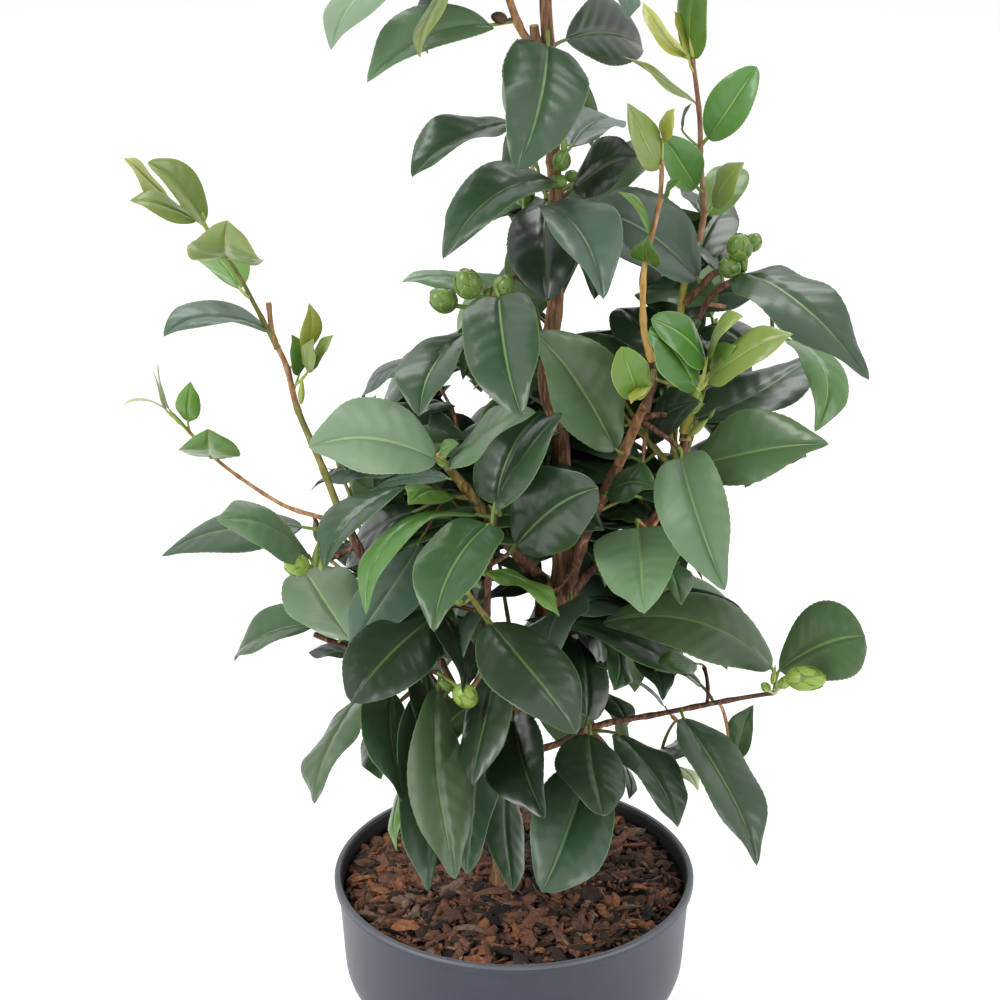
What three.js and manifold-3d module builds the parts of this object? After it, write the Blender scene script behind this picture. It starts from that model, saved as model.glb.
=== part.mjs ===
// Camellia shrub in a round nursery pot.
// Millimetres, +Z up, origin at the centre of the pot's flat underside, front of the plant towards -Y.
// Pot, bark mulch, trunk, boughs and shoot stems are true solids. Each mass of leaves is one
// closed, uneven solid that reaches the tips of its leaves.
import * as THREE from 'three';
import { mergeVertices } from 'three/addons/utils/BufferGeometryUtils.js';
import Module from 'manifold-3d';

const wasm = await Module();
wasm.setup();

// ---------- driving dimensions ----------
const POT_RIM_R = 95;          // outside radius of the rim
const POT_HEIGHT = 150;
const POT_COLLAR_R = 90;       // collar just above the step
const POT_BODY_R = 80;         // body just under the step
const POT_BASE_R = 69;
const POT_STEP_Z = 82;
const POT_WALL = 2;
const POT_FACETS = 24;
const DRAIN_HOLES = 6, DRAIN_R = 4.5, DRAIN_RING_R = 46;
const FLOOR_T = 2;             // thickness of the pot's floor
const FIT = 0.35;              // clearance between touching solids
const BARK_Z = 140;            // level of the mulch
const BARK_RELIEF = 2.2;
const TRUNK_X = -4, TRUNK_BASE_R = 6.5, TRUNK_TIP_R = 2.4, TRUNK_FLARE = 0.38;
const MASS_GAP = 1.2;          // air between neighbouring leaf masses

// ---------- small helpers ----------
const rad = (d) => (d * Math.PI) / 180;
function rng(seed) {
  let s = seed >>> 0;
  return () => {
    s = (s + 0x6d2b79f5) >>> 0;
    let t = s;
    t = Math.imul(t ^ (t >>> 15), t | 1);
    t ^= t + Math.imul(t ^ (t >>> 7), t | 61);
    return ((t ^ (t >>> 14)) >>> 0) / 4294967296;
  };
}
const dirOf = (az, el) => new THREE.Vector3(
  Math.cos(rad(el)) * Math.cos(rad(az)), Math.cos(rad(el)) * Math.sin(rad(az)), Math.sin(rad(el)));

function bare(geometry) {
  const g = geometry.clone();
  for (const key of Object.keys(g.attributes)) if (key !== 'position') g.deleteAttribute(key);
  return mergeVertices(g, 1e-3);
}
function solidOf(geometry) {
  const g = bare(geometry);
  return new wasm.Manifold(new wasm.Mesh({
    numProp: 3,
    vertProperties: new Float32Array(g.attributes.position.array),
    triVerts: new Uint32Array(g.index.array),
  }));
}
// keeps the largest connected piece of a cut solid
function geometryOf(solid) {
  const m = solid.getMesh();
  const n = m.vertProperties.length / m.numProp;
  const root = Array.from({ length: n }, (_, i) => i);
  const find = (i) => { while (root[i] !== i) { root[i] = root[root[i]]; i = root[i]; } return i; };
  const tri = m.triVerts;
  for (let t = 0; t < tri.length; t += 3) {
    root[find(tri[t])] = find(tri[t + 1]);
    root[find(tri[t + 1])] = find(tri[t + 2]);
  }
  const volume = new Map();
  const P = (i) => new THREE.Vector3(m.vertProperties[i * m.numProp], m.vertProperties[i * m.numProp + 1], m.vertProperties[i * m.numProp + 2]);
  for (let t = 0; t < tri.length; t += 3) {
    const k = find(tri[t]);
    const v = P(tri[t]).dot(P(tri[t + 1]).cross(P(tri[t + 2]))) / 6;
    volume.set(k, (volume.get(k) || 0) + v);
  }
  let best = -1, bestV = -Infinity;
  for (const [k, v] of volume) if (v > bestV) { bestV = v; best = k; }
  const position = [], index = [], map = new Map();
  for (let t = 0; t < tri.length; t += 3) {
    if (find(tri[t]) !== best) continue;
    for (let j = 0; j < 3; j++) {
      const i = tri[t + j];
      if (!map.has(i)) { map.set(i, position.length / 3); const p = P(i); position.push(p.x, p.y, p.z); }
      index.push(map.get(i));
    }
  }
  const g = new THREE.BufferGeometry();
  g.setAttribute('position', new THREE.Float32BufferAttribute(position, 3));
  g.setIndex(index);
  return g;
}

const plant = new THREE.Group();
function addNode(name, geometry, color, roughness = 0.7) {
  geometry.computeVertexNormals();
  const mesh = new THREE.Mesh(geometry, new THREE.MeshStandardMaterial({ color, roughness, metalness: 0, flatShading: true }));
  mesh.name = name;
  plant.add(mesh);
}

// ---------- pot ----------
function lathe(points) {
  const g = new THREE.LatheGeometry(points.map(([r, z]) => new THREE.Vector2(r, z)), POT_FACETS);
  g.rotateX(Math.PI / 2);   // the lathe's axis becomes +Z
  return g;
}
const potProfile = [
  [0, 0], [POT_BASE_R - 2, 0], [POT_BASE_R, 2],
  [POT_BODY_R - 0.6, POT_STEP_Z - 2], [POT_BODY_R + 1.5, POT_STEP_Z + 1.5], [POT_COLLAR_R - 3, POT_STEP_Z + 9], [POT_COLLAR_R, POT_STEP_Z + 21],
  [POT_RIM_R - 2.2, POT_HEIGHT - 5], [POT_RIM_R, POT_HEIGHT - 4.4], [POT_RIM_R, POT_HEIGHT],
  [POT_RIM_R - 4.0, POT_HEIGHT],
  [POT_COLLAR_R - POT_WALL, POT_STEP_Z + 21], [POT_COLLAR_R - 3 - POT_WALL, POT_STEP_Z + 8.6], [POT_BODY_R + 1.2 - POT_WALL, POT_STEP_Z + 1.5],
  [POT_BODY_R - 0.6 - POT_WALL, POT_STEP_Z - 2], [POT_BASE_R - POT_WALL, FLOOR_T + 2], [POT_BASE_R - POT_WALL - 1.5, FLOOR_T], [0, FLOOR_T],
];
let pot = solidOf(lathe(potProfile));
for (let i = 0; i < DRAIN_HOLES; i++) {
  const a = rad(30 + (360 / DRAIN_HOLES) * i);
  const hole = new THREE.CylinderGeometry(DRAIN_R, DRAIN_R, FLOOR_T * 4, 10);
  hole.rotateX(Math.PI / 2);
  hole.translate(DRAIN_RING_R * Math.cos(a), DRAIN_RING_R * Math.sin(a), FLOOR_T / 2);
  pot = pot.subtract(solidOf(hole));
}
addNode('pot', geometryOf(pot), 0x5b5f68, 0.55);

// ---------- bark mulch: fills the pot, uneven on top, level under the trunk ----------
const innerR = (z) => {
  const pts = potProfile.slice(10, 16).reverse();   // inside wall, from the floor up
  for (let i = 1; i < pts.length; i++) {
    if (z <= pts[i][1]) {
      const t = (z - pts[i - 1][1]) / (pts[i][1] - pts[i - 1][1]);
      return pts[i - 1][0] + t * (pts[i][0] - pts[i - 1][0]);
    }
  }
  return pts[pts.length - 1][0];
};
const barkEdgeZ = BARK_Z - 3;
const barkWall = [[0, FLOOR_T + FIT], [POT_BASE_R - POT_WALL - 2.2, FLOOR_T + FIT], [innerR(FLOOR_T + 3) - FIT * 1.6, FLOOR_T + 3]];
for (const z of [POT_STEP_Z - 2, POT_STEP_Z + 1.5, POT_STEP_Z + 8.6, POT_STEP_Z + 21, barkEdgeZ]) barkWall.push([innerR(z) - FIT * 1.6, z]);
const barkTop = [0.8, 0.55, 0.34].map((f) => [innerR(barkEdgeZ) * f, BARK_Z]);
const barkGeometry = bare(lathe([...barkWall, ...barkTop, [0, BARK_Z]]));
{
  const p = barkGeometry.attributes.position;
  for (let i = 0; i < p.count; i++) {
    const x = p.getX(i), y = p.getY(i), z = p.getZ(i);
    if (z < BARK_Z - 1) continue;
    const away = Math.min(1, Math.max(0, (Math.hypot(x - TRUNK_X, y) - 24) / 18));
    p.setZ(i, z + away * BARK_RELIEF * Math.sin(x * 0.11 + 1.3) * Math.cos(y * 0.13 - 0.6));
  }
}
addNode('bark_mulch', barkGeometry, 0x4a3426, 0.95);

// ---------- trunk, boughs and stems: one tapering limb each ----------
// axis: a few control points; r0 -> r1 taper; sides and steps of the sweep
function limb({ axis, r0, r1, sides = 6, steps = 6, flare = 0, flat = false, ease = 0.8 }, inflate = 0) {
  const curve = new THREE.CatmullRomCurve3(axis.map((p) => new THREE.Vector3(...p)), false, 'centripetal');
  const frames = curve.computeFrenetFrames(steps, false);
  const position = [], index = [];
  for (let i = 0; i <= steps; i++) {
    const t = i / steps;
    const c = curve.getPointAt(t);
    const s = curve.getLength() * t;
    for (let j = 0; j < sides; j++) {
      const a = (2 * Math.PI * j) / sides;
      let r = r0 + (r1 - r0) * Math.pow(t, ease);
      if (flare) r *= 1 + flare * Math.exp(-s / 9) * (1 + 0.35 * Math.cos(3 * a + 0.7));
      r += inflate;
      const v = c.clone().addScaledVector(frames.normals[i], r * Math.cos(a)).addScaledVector(frames.binormals[i], r * Math.sin(a));
      if (flat && i === 0) v.z = axis[0][2] - (inflate ? 1 : 0);
      position.push(v.x, v.y, v.z);
    }
  }
  for (let i = 0; i < steps; i++) for (let j = 0; j < sides; j++) {
    const a = i * sides + j, b = i * sides + ((j + 1) % sides), c = a + sides, d = b + sides;
    index.push(a, b, d, a, d, c);
  }
  const c0 = curve.getPointAt(0), c1 = curve.getPointAt(1);
  const tip = c1.clone().addScaledVector(frames.tangents[steps], (r1 + inflate) * 0.35);
  position.push(c0.x, c0.y, flat ? axis[0][2] - (inflate ? 1 : 0) : c0.z, tip.x, tip.y, tip.z);
  const k0 = (steps + 1) * sides, k1 = k0 + 1, last = steps * sides;
  for (let j = 0; j < sides; j++) {
    index.push(k0, (j + 1) % sides, j);
    index.push(k1, last + j, last + ((j + 1) % sides));
  }
  const g = new THREE.BufferGeometry();
  g.setAttribute('position', new THREE.Float32BufferAttribute(position, 3));
  g.setIndex(index);
  return g;
}
const seat = BARK_Z + FIT;
const LIMBS = [
  ['trunk', { axis: [[TRUNK_X, 0, seat], [TRUNK_X - 2.5, 0, 170], [-10.5, 0, 198], [-2, 0, 226], [16, 0, 287], [23, 0, 318], [24, 0, 366], [22, 0, 404], [15.5, 0, 428], [20, 0, 478], [18, 0, 556], [14, 0, 622], [11, 2, 676]], r0: TRUNK_BASE_R, r1: TRUNK_TIP_R, sides: 8, steps: 16, flare: TRUNK_FLARE, flat: true, ease: 0.9 }],
  ['bough_left', { axis: [[21, 0, 313], [8, -6, 331], [-5, -14, 349], [-17, -22, 371], [-29, -30, 392], [-38, -34, 405]], r0: 2.8, r1: 2.2 }],
  ['bough_right', { axis: [[24, 0, 312], [34, -10, 347], [42, -18, 373], [52, -26, 400], [63, -32, 431]], r0: 3.2, r1: 2.4 }],
  ['bough_back_right', { axis: [[24, 0, 310], [38, 6, 322], [51, 8, 333], [62, 4, 347], [73, -2, 361], [82, -10, 384], [84, -14, 408]], r0: 2.6, r1: 2.0, steps: 8 }],
  ['bough_low_right', { axis: [[-5, 0, 220], [21, -10, 231], [44, -18, 247], [75, -26, 258], [110, -30, 268], [131, -32, 273]], r0: 2.1, r1: 1.1, steps: 8 }],
  ['bough_left_low', { axis: [[-9, 0, 208], [-30, -5, 246], [-56, -8, 290], [-74, -8, 330], [-82, -6, 352]], r0: 2.8, r1: 2.1 }],
  ['bough_front', { axis: [[-3, -1, 224], [-10, -22, 262], [-14, -42, 300], [-13, -58, 350], [-11, -62, 376]], r0: 2.4, r1: 1.5 }],
  ['bough_back', { axis: [[13, 1, 278], [12, 28, 316], [6, 54, 352], [2, 74, 392]], r0: 2.4, r1: 1.3, steps: 5 }],
  ['bough_back_left', { axis: [[-10, 0, 204], [-28, 24, 238], [-50, 48, 276], [-66, 64, 306]], r0: 2.4, r1: 1.3, steps: 5 }],
  ['bough_back_low_right', { axis: [[-7, 1, 214], [16, 28, 240], [42, 54, 270], [64, 70, 296]], r0: 2.4, r1: 1.3, steps: 5 }],
  ['bough_back_right_side', { axis: [[61, 4, 345], [66, 28, 362], [74, 56, 382]], r0: 1.8, r1: 1.2, steps: 4 }],
  ['bough_back_upper', { axis: [[20, 0, 462], [20, 26, 482], [18, 54, 496]], r0: 1.8, r1: 1.2, steps: 4 }],
  ['bough_back_top', { axis: [[17, 0, 566], [14, 18, 580], [8, 36, 588]], r0: 1.7, r1: 1.1, steps: 4 }],
  ['bough_top_left', { axis: [[12, 1, 650], [-6, -3, 656], [-30, -12, 655]], r0: 1.8, r1: 1.2, steps: 4 }],
  ['bough_right_outer', { axis: [[83, 6, 448], [98, 8, 468], [114, 3, 484]], r0: 1.8, r1: 1.3, steps: 4 }],
  ['stem_high_shoot', { axis: [[84, -14, 410], [83, 0, 431], [82, 14, 464], [86, 16, 487], [92, 18, 507], [90, 18, 539], [89, 18, 561], [85, 19, 583]], r0: 2.2, r1: 1.1, sides: 5, steps: 9 }],
  ['stem_inner_shoot', { axis: [[63, -32, 433], [67, -30, 446], [62, -28, 469], [62, -24, 502], [66, -18, 516], [69, -14, 530], [70, -12, 547]], r0: 2.1, r1: 1.0, sides: 5, steps: 8 }],
  ['stem_left_shoot', { axis: [[-84, -5, 354], [-98, 6, 385], [-109, 14, 410], [-114, 16, 432], [-120, 17, 447], [-122, 18, 465]], r0: 2.0, r1: 1.3, sides: 5, steps: 6 }],
  ['stem_left_side_shoot', { axis: [[-119, 17, 443], [-128, 16, 463], [-136, 14, 481], [-141, 11, 491], [-152, 6, 511]], r0: 1.3, r1: 0.9, sides: 5, steps: 5 }],
  ['stem_far_left_shoot', { axis: [[-84, -4, 354], [-98, 2, 355], [-115, 8, 358], [-133, 14, 367], [-151, 20, 379], [-160, 22, 388]], r0: 1.3, r1: 0.8, sides: 5, steps: 6 }],
];
const limbTools = [];
for (const [name, spec] of LIMBS) {
  let solid = solidOf(limb(spec));
  for (const tool of limbTools) solid = solid.subtract(tool);
  limbTools.push(solidOf(limb(spec, FIT)));
  addNode(name, geometryOf(solid), name.startsWith('stem') ? 0x8a7a3c : 0x6e4a30, 0.85);
}

// ---------- leaf masses ----------
// [name, centre, radii, subdivision, lobes as [azimuth, elevation, reach]]
const MASSES = [
  ['leaves_crown_top', [14, 4, 678], [52, 49, 43], 2, [[0, 86, 57], [200, 30, 58], [330, 26, 60], [90, 22, 60], [262, 12, 62], [150, 50, 54]]],
  ['leaves_top_left', [-49, -38, 628], [30, 28, 22], 2, [[-140, -4, 49], [171, 18, 38], [-137, -41, 35], [-84, -17, 30], [-121, 47, 26]]],
  ['leaves_top_front', [32, -9, 608], [31, 52, 30], 2, [[-111, -23, 91], [66, -18, 86], [-13, 65, 37], [-47, 31, 35], [14, 40, 35]]],
  ['leaves_upper_left', [-17, -34, 547], [30, 28, 25], 2, [[-141, 18, 44], [-124, -39, 43], [153, 39, 34]]],
  ['leaves_upper_right', [53, 7, 500], [40, 49, 45], 2, [[52, -1, 91], [-98, 5, 87], [91, -43, 77], [87, 35, 76], [-124, 19, 73], [123, 46, 72], [-86, 58, 67]]],
  ['leaves_high_shoot', [85, 22, 568], [15, 17, 44], 2, [[-6, 87, 69], [53, -44, 65], [90, -64, 60], [138, 56, 53], [-55, -55, 51], [-164, 39, 42], [-28, 34, 40]]],
  ['leaves_inner_shoot', [65, -23, 541], [9, 11, 27], 1, [[-163, 70, 42], [29, 73, 38], [-73, -69, 36], [-96, -40, 28]]],
  ['leaves_right_outer', [121, -4, 455], [31, 52, 27], 2, [[109, 20, 76], [109, -16, 76], [-46, 1, 73], [-82, 25, 66], [-101, 3, 64], [-60, -30, 60], [47, -21, 50], [-22, -26, 47]]],
  ['leaves_right_middle', [83, -47, 410], [34, 45, 52], 2, [[120, -36, 90], [-107, -26, 92], [-80, -14, 85], [-132, 72, 84], [-21, 15, 71], [-136, -36, 73], [-150, 48, 64]]],
  ['leaves_centre', [-1, -26, 420], [40, 52, 49], 2, [[78, -36, 100], [-89, 26, 91], [170, 54, 88], [50, -23, 87], [-63, -5, 82], [125, 50, 80], [-128, 22, 79], [-74, 51, 77]]],
  ['leaves_left_centre', [-66, -18, 400], [29, 52, 31], 2, [[-109, 24, 94], [127, -32, 79], [101, -2, 73], [-35, -19, 43]]],
  ['leaves_left_middle', [-56, -55, 356], [34, 54, 29], 2, [[113, -25, 90], [-79, 5, 87], [-110, -2, 62], [-141, -30, 52], [154, 28, 46]]],
  ['leaves_left_low', [-66, -55, 275], [27, 45, 38], 2, [[96, -1, 80], [-101, 32, 76], [-78, -9, 70], [-84, -56, 69], [-130, -26, 62], [-174, -29, 46]]],
  ['leaves_left_outer', [-124, -4, 318], [36, 34, 38], 2, [[-110, 50, 82], [65, -52, 69], [129, -55, 67], [156, 8, 66], [118, 30, 51], [-20, 10, 44]]],
  ['leaves_front_hanging', [-27, -82, 276], [15, 30, 36], 2, [[-106, -55, 77], [69, 64, 59], [141, 74, 53], [-84, -12, 46], [-169, -40, 40]]],
  ['leaves_centre_low', [39, -35, 294], [40, 56, 36], 2, [[-95, 12, 120], [-129, 46, 92], [83, -24, 84], [141, 3, 79], [66, -44, 66]]],
  ['leaves_right_low', [42, -58, 237], [45, 67, 29], 2, [[-108, -4, 100], [-92, 15, 85], [-137, 17, 79], [-144, -17, 72], [-58, 5, 66], [58, -14, 90]]],
  ['leaves_right_low_shoot', [111, -49, 275], [36, 37, 38], 2, [[-30, 35, 84], [153, 22, 70], [-79, -46, 81], [5, 53, 66], [106, 37, 56]]],
  ['leaves_left_shoot_tip', [-156, 6, 513], [19, 24, 25], 2, [[98, -29, 60], [-67, 14, 50], [-152, 48, 49], [175, 26, 34]]],
  ['leaves_left_shoot_blade', [-147, -1, 459], [19, 14, 8], 1, [[-145, 8, 31], [40, -22, 30]]],
  ['leaves_left_shoot_sprout', [-102, 14, 446], [8, 7, 13], 1, [[78, 74, 20], [-1, 25, 14]]],
  ['leaves_far_left_sprout', [-168, 14, 405], [15, 13, 14], 1, [[-52, 0, 28], [119, 53, 28], [-175, 14, 29]]],
  ['leaves_back_top', [0, 62, 592], [49, 43, 52], 2, [[80, 20, 60], [150, 10, 58], [30, -10, 60]]],
  ['leaves_back_upper', [16, 84, 502], [47, 45, 49], 1, [[85, 5, 60], [150, -20, 56], [20, 25, 56]]],
  ['leaves_back_right', [78, 84, 402], [56, 47, 49], 1, [[70, 15, 66], [20, 10, 66], [110, -25, 58]]],
  ['leaves_back_left', [-28, 92, 398], [49, 47, 52], 1, [[100, 15, 62], [160, -5, 60], [130, -35, 58]]],
  ['leaves_back_low_left', [-76, 74, 308], [52, 47, 43], 2, [[120, 5, 64], [175, -12, 58], [80, -20, 56]]],
  ['leaves_back_low_right', [80, 82, 300], [54, 49, 43], 1, [[60, 5, 66], [10, -8, 66], [100, -25, 56]]],
  ['leaves_back_low', [0, 74, 244], [56, 45, 34], 1, [[90, 10, 62], [130, -20, 56], [50, -20, 56]]],
];
const centres = MASSES.map(([, c]) => new THREE.Vector3(...c));
const sizes = MASSES.map(([, , r]) => (r[0] + r[1] + r[2]) / 3);

function leafMass(k) {
  const [, , radii, detail, lobes] = MASSES[k];
  const centre = centres[k];
  const ball = bare(new THREE.IcosahedronGeometry(1, detail));
  const p = ball.attributes.position;
  const random = rng(101 + 17 * k);
  const wave = Array.from({ length: 4 }, () => dirOf(random() * 360, random() * 160 - 80).multiplyScalar(2 + 2.5 * random()));
  const phase = wave.map(() => random() * 6.28);
  const dirs = [];
  for (let i = 0; i < p.count; i++) dirs.push(new THREE.Vector3().fromBufferAttribute(p, i).normalize());
  const spacing = Math.acos(Math.min(...dirs.slice(1).map((d) => d.dot(dirs[0])).map((c, i, all) => Math.max(...all))));
  const taken = new Map();
  for (const [az, el, reach] of lobes) {
    const d = dirOf(az, el);
    let best = -1, bestDot = -2;
    dirs.forEach((q, i) => { const c = q.dot(d); if (c > bestDot && !taken.has(i)) { bestDot = c; best = i; } });
    if (Math.acos(Math.min(1, bestDot)) < spacing * 0.45) dirs[best] = d;
    taken.set(best, reach);
  }
  // half-spaces shared with the neighbours, so no two masses meet
  const planes = [];
  centres.forEach((other, j) => {
    if (j === k) return;
    const n = other.clone().sub(centre);
    const gap = n.length();
    n.divideScalar(gap);
    planes.push({ n, reach: (gap * sizes[k]) / (sizes[k] + sizes[j]) - MASS_GAP / 2 });
  });
  dirs.forEach((d, i) => {
    const q = Math.hypot(d.x / radii[0], d.y / radii[1], d.z / radii[2]);
    let r = 1 / q;
    wave.forEach((w, m) => { r *= 1 + 0.055 * Math.sin(w.dot(d) * 2.2 + phase[m]); });
    for (const [az, el, reach] of lobes) {
      const off = Math.acos(Math.max(-1, Math.min(1, dirOf(az, el).dot(d))));
      r = Math.max(r, reach * Math.exp(-Math.pow(off / 0.42, 2)));
    }
    if (taken.has(i)) r = Math.max(r, taken.get(i));
    for (const { n, reach } of planes) { const c = n.dot(d); if (c > 0.02) r = Math.min(r, reach / c); }
    p.setXYZ(i, centre.x + d.x * r, centre.y + d.y * r, centre.z + d.z * r);
  });
  return ball;
}
const greens = [0x4d6b3c, 0x5b7a48, 0x66854f, 0x6f8f5c, 0x43603a];
MASSES.forEach(([name], k) => {
  let solid = solidOf(leafMass(k));
  for (const tool of limbTools) solid = solid.subtract(tool);
  addNode(name, geometryOf(solid), greens[k % greens.length], 0.8);
});

export default plant;
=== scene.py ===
"""Camellia shrub in a nursery pot: the looks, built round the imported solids. Metres, +Z up."""
import math
import bpy
import numpy as np
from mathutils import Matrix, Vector, noise


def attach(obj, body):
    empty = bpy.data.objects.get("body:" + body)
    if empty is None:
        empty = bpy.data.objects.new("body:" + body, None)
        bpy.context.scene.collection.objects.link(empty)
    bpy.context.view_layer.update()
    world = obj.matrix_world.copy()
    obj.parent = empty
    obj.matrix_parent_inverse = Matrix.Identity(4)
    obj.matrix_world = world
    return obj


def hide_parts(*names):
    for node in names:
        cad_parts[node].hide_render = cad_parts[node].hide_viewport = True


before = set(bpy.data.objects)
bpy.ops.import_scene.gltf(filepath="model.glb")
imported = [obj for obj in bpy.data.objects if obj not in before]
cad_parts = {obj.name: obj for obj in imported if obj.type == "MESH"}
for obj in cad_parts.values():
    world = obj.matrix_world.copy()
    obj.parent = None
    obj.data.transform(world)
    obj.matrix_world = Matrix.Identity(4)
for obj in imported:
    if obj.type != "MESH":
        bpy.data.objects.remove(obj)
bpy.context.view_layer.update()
MM = 0.001

# ------------------------------------------------------------------ camera
cam_data = bpy.data.cameras.new("camera")
cam_data.sensor_width = 36.0
cam_data.lens = 121.82
cam_data.clip_end = 50.0
cam = bpy.data.objects.new("camera", cam_data)
bpy.context.collection.objects.link(cam)
CAM_POS = np.array([-7.4, -1543.5, 1077.4])
CAM_DOWN = math.radians(24.76)
cam.location = tuple(CAM_POS * MM)
cam.rotation_euler = (math.radians(90) - CAM_DOWN, 0, 0)
bpy.context.scene.camera = cam
CAM_F = np.array([0, math.cos(CAM_DOWN), -math.sin(CAM_DOWN)])
CAM_U = np.array([0, math.sin(CAM_DOWN), math.cos(CAM_DOWN)])


def project(p):
    """Where points in mm fall in a 1000 x 1000 picture from the camera."""
    d = np.asarray(p, float) - CAM_POS
    z = d @ CAM_F
    return 500 + 3384.0 * d[..., 0] / z, 500 - 3384.0 * (d @ CAM_U) / z


# ------------------------------------------------------------------ helpers
def unit(v):
    v = np.asarray(v, float)
    return v / np.maximum(np.linalg.norm(v, axis=-1, keepdims=True), 1e-9)


def lin(r, g, b):
    f = lambda c: c / 12.92 if c <= 0.04045 else ((c + 0.055) / 1.055) ** 2.4
    return tuple(f(c / 255.0) for c in (r, g, b)) + (1.0,)


def smoothstep(a, b, x):
    t = np.clip((x - a) / (b - a), 0, 1)
    return t * t * (3 - 2 * t)


class Builder:
    """Collects vertices (mm) and faces with material slots, then makes one mesh object."""

    def __init__(self, name):
        self.name, self.v, self.f, self.m, self.n, self.mats = name, [], [], [], 0, []

    def slot(self, mat):
        if mat not in self.mats:
            self.mats.append(mat)
        return self.mats.index(mat)

    def add(self, verts, faces, mat_index):
        """faces: array (k, 3 or 4); mat_index: int or array of k."""
        verts = np.asarray(verts, float).reshape(-1, 3)
        faces = np.asarray(faces, int)
        self.v.append(verts)
        self.f.append(faces + self.n)
        k = len(faces)
        self.m.append(np.full(k, mat_index, int) if np.isscalar(mat_index) else np.asarray(mat_index, int))
        self.n += len(verts)

    def make(self, smooth=True):
        V = np.concatenate(self.v) * MM
        loops, starts, totals, s = [], [], [], 0
        for f in self.f:
            loops.append(f.ravel())
            k, w = f.shape
            starts.append(s + w * np.arange(k))
            totals.append(np.full(k, w))
            s += k * w
        loops, starts, totals = map(np.concatenate, (loops, starts, totals))
        me = bpy.data.meshes.new(self.name)
        me.vertices.add(len(V))
        me.vertices.foreach_set("co", V.ravel().astype(np.float32))
        me.loops.add(len(loops))
        me.loops.foreach_set("vertex_index", loops.astype(np.int32))
        me.polygons.add(len(starts))
        me.polygons.foreach_set("loop_start", starts.astype(np.int32))
        me.polygons.foreach_set("loop_total", totals.astype(np.int32))
        me.polygons.foreach_set("material_index", np.concatenate(self.m).astype(np.int32))
        me.polygons.foreach_set("use_smooth", np.full(len(starts), smooth))
        for m in self.mats:
            me.materials.append(m)
        me.update(calc_edges=True)
        me.validate()
        o = bpy.data.objects.new(self.name, me)
        bpy.context.collection.objects.link(o)
        return o


def base_material(name, color, rough=0.5, coat=0.0, coat_rough=0.1, spec=0.5, sheen=0.0):
    m = bpy.data.materials.new(name)
    m.use_nodes = True
    b = m.node_tree.nodes["Principled BSDF"]
    b.inputs["Base Color"].default_value = color
    b.inputs["Roughness"].default_value = rough
    b.inputs["Specular IOR Level"].default_value = spec
    b.inputs["Coat Weight"].default_value = coat
    b.inputs["Coat Roughness"].default_value = coat_rough
    b.inputs["Sheen Weight"].default_value = sheen
    return m


def patterned(name, stops, scale=(1, 1, 1), noise_scale=60.0, detail=6.0, rough=(0.5, 0.7), bump=0.2, bump_mm=0.4, bump_scale=None, distortion=0.0, coat=0.0, spec=0.5):
    """Principled with a noise-driven colour ramp, roughness and bump, in object coordinates."""
    m = base_material(name, stops[0][1], rough[0], coat=coat, spec=spec)
    nt = m.node_tree
    b = nt.nodes["Principled BSDF"]
    tc = nt.nodes.new("ShaderNodeTexCoord")
    mp = nt.nodes.new("ShaderNodeMapping")
    mp.inputs["Scale"].default_value = scale
    nt.links.new(tc.outputs["Object"], mp.inputs["Vector"])
    n1 = nt.nodes.new("ShaderNodeTexNoise")
    n1.inputs["Scale"].default_value = noise_scale
    n1.inputs["Detail"].default_value = detail
    n1.inputs["Roughness"].default_value = 0.62
    n1.inputs["Distortion"].default_value = distortion
    nt.links.new(mp.outputs["Vector"], n1.inputs["Vector"])
    ramp = nt.nodes.new("ShaderNodeValToRGB")
    els = ramp.color_ramp.elements
    els[0].position, els[0].color = stops[0]
    els[1].position, els[1].color = stops[-1]
    for p, c in stops[1:-1]:
        e = els.new(p)
        e.color = c
    nt.links.new(n1.outputs["Fac"], ramp.inputs["Fac"])
    nt.links.new(ramp.outputs["Color"], b.inputs["Base Color"])
    mr = nt.nodes.new("ShaderNodeMapRange")
    mr.inputs["To Min"].default_value, mr.inputs["To Max"].default_value = rough
    nt.links.new(n1.outputs["Fac"], mr.inputs["Value"])
    nt.links.new(mr.outputs["Result"], b.inputs["Roughness"])
    n2 = nt.nodes.new("ShaderNodeTexNoise")
    n2.inputs["Scale"].default_value = bump_scale or noise_scale * 2.5
    n2.inputs["Detail"].default_value = 8.0
    nt.links.new(mp.outputs["Vector"], n2.inputs["Vector"])
    bm = nt.nodes.new("ShaderNodeBump")
    bm.inputs["Strength"].default_value = bump
    bm.inputs["Distance"].default_value = bump_mm * MM
    nt.links.new(n2.outputs["Fac"], bm.inputs["Height"])
    nt.links.new(bm.outputs["Normal"], b.inputs["Normal"])
    return m


# ------------------------------------------------------------------ pot
POT_RIM_R, POT_H, COLLAR_R, BODY_R, BASE_R, STEP_Z = 95.0, 150.0, 90.0, 80.0, 69.0, 82.0
pot_grey = patterned("pot_plastic_grey", [(0.3, lin(46, 51, 62)), (0.7, lin(53, 58, 69))], noise_scale=45, rough=(0.34, 0.42), bump=0.12, bump_mm=0.25, bump_scale=900)
# the inside of the pot: the same plastic painted darker, painted shade inside the pot
pot_inside_painted_shade = patterned("pot_plastic_inside_painted_shade", [(0.3, lin(34, 36, 40)), (0.7, lin(42, 44, 48))], noise_scale=45, rough=(0.42, 0.55), bump=0.12, bump_mm=0.25, bump_scale=900)
# the rim's top: the same grey plastic painted lighter, a painted highlight where light from above falls on it
pot_rim_painted_highlight = patterned("pot_plastic_rim_painted_highlight", [(0.3, lin(84, 88, 95)), (0.7, lin(96, 100, 107))], noise_scale=80, rough=(0.35, 0.45), bump=0.08, bump_mm=0.2, bump_scale=900)


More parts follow.
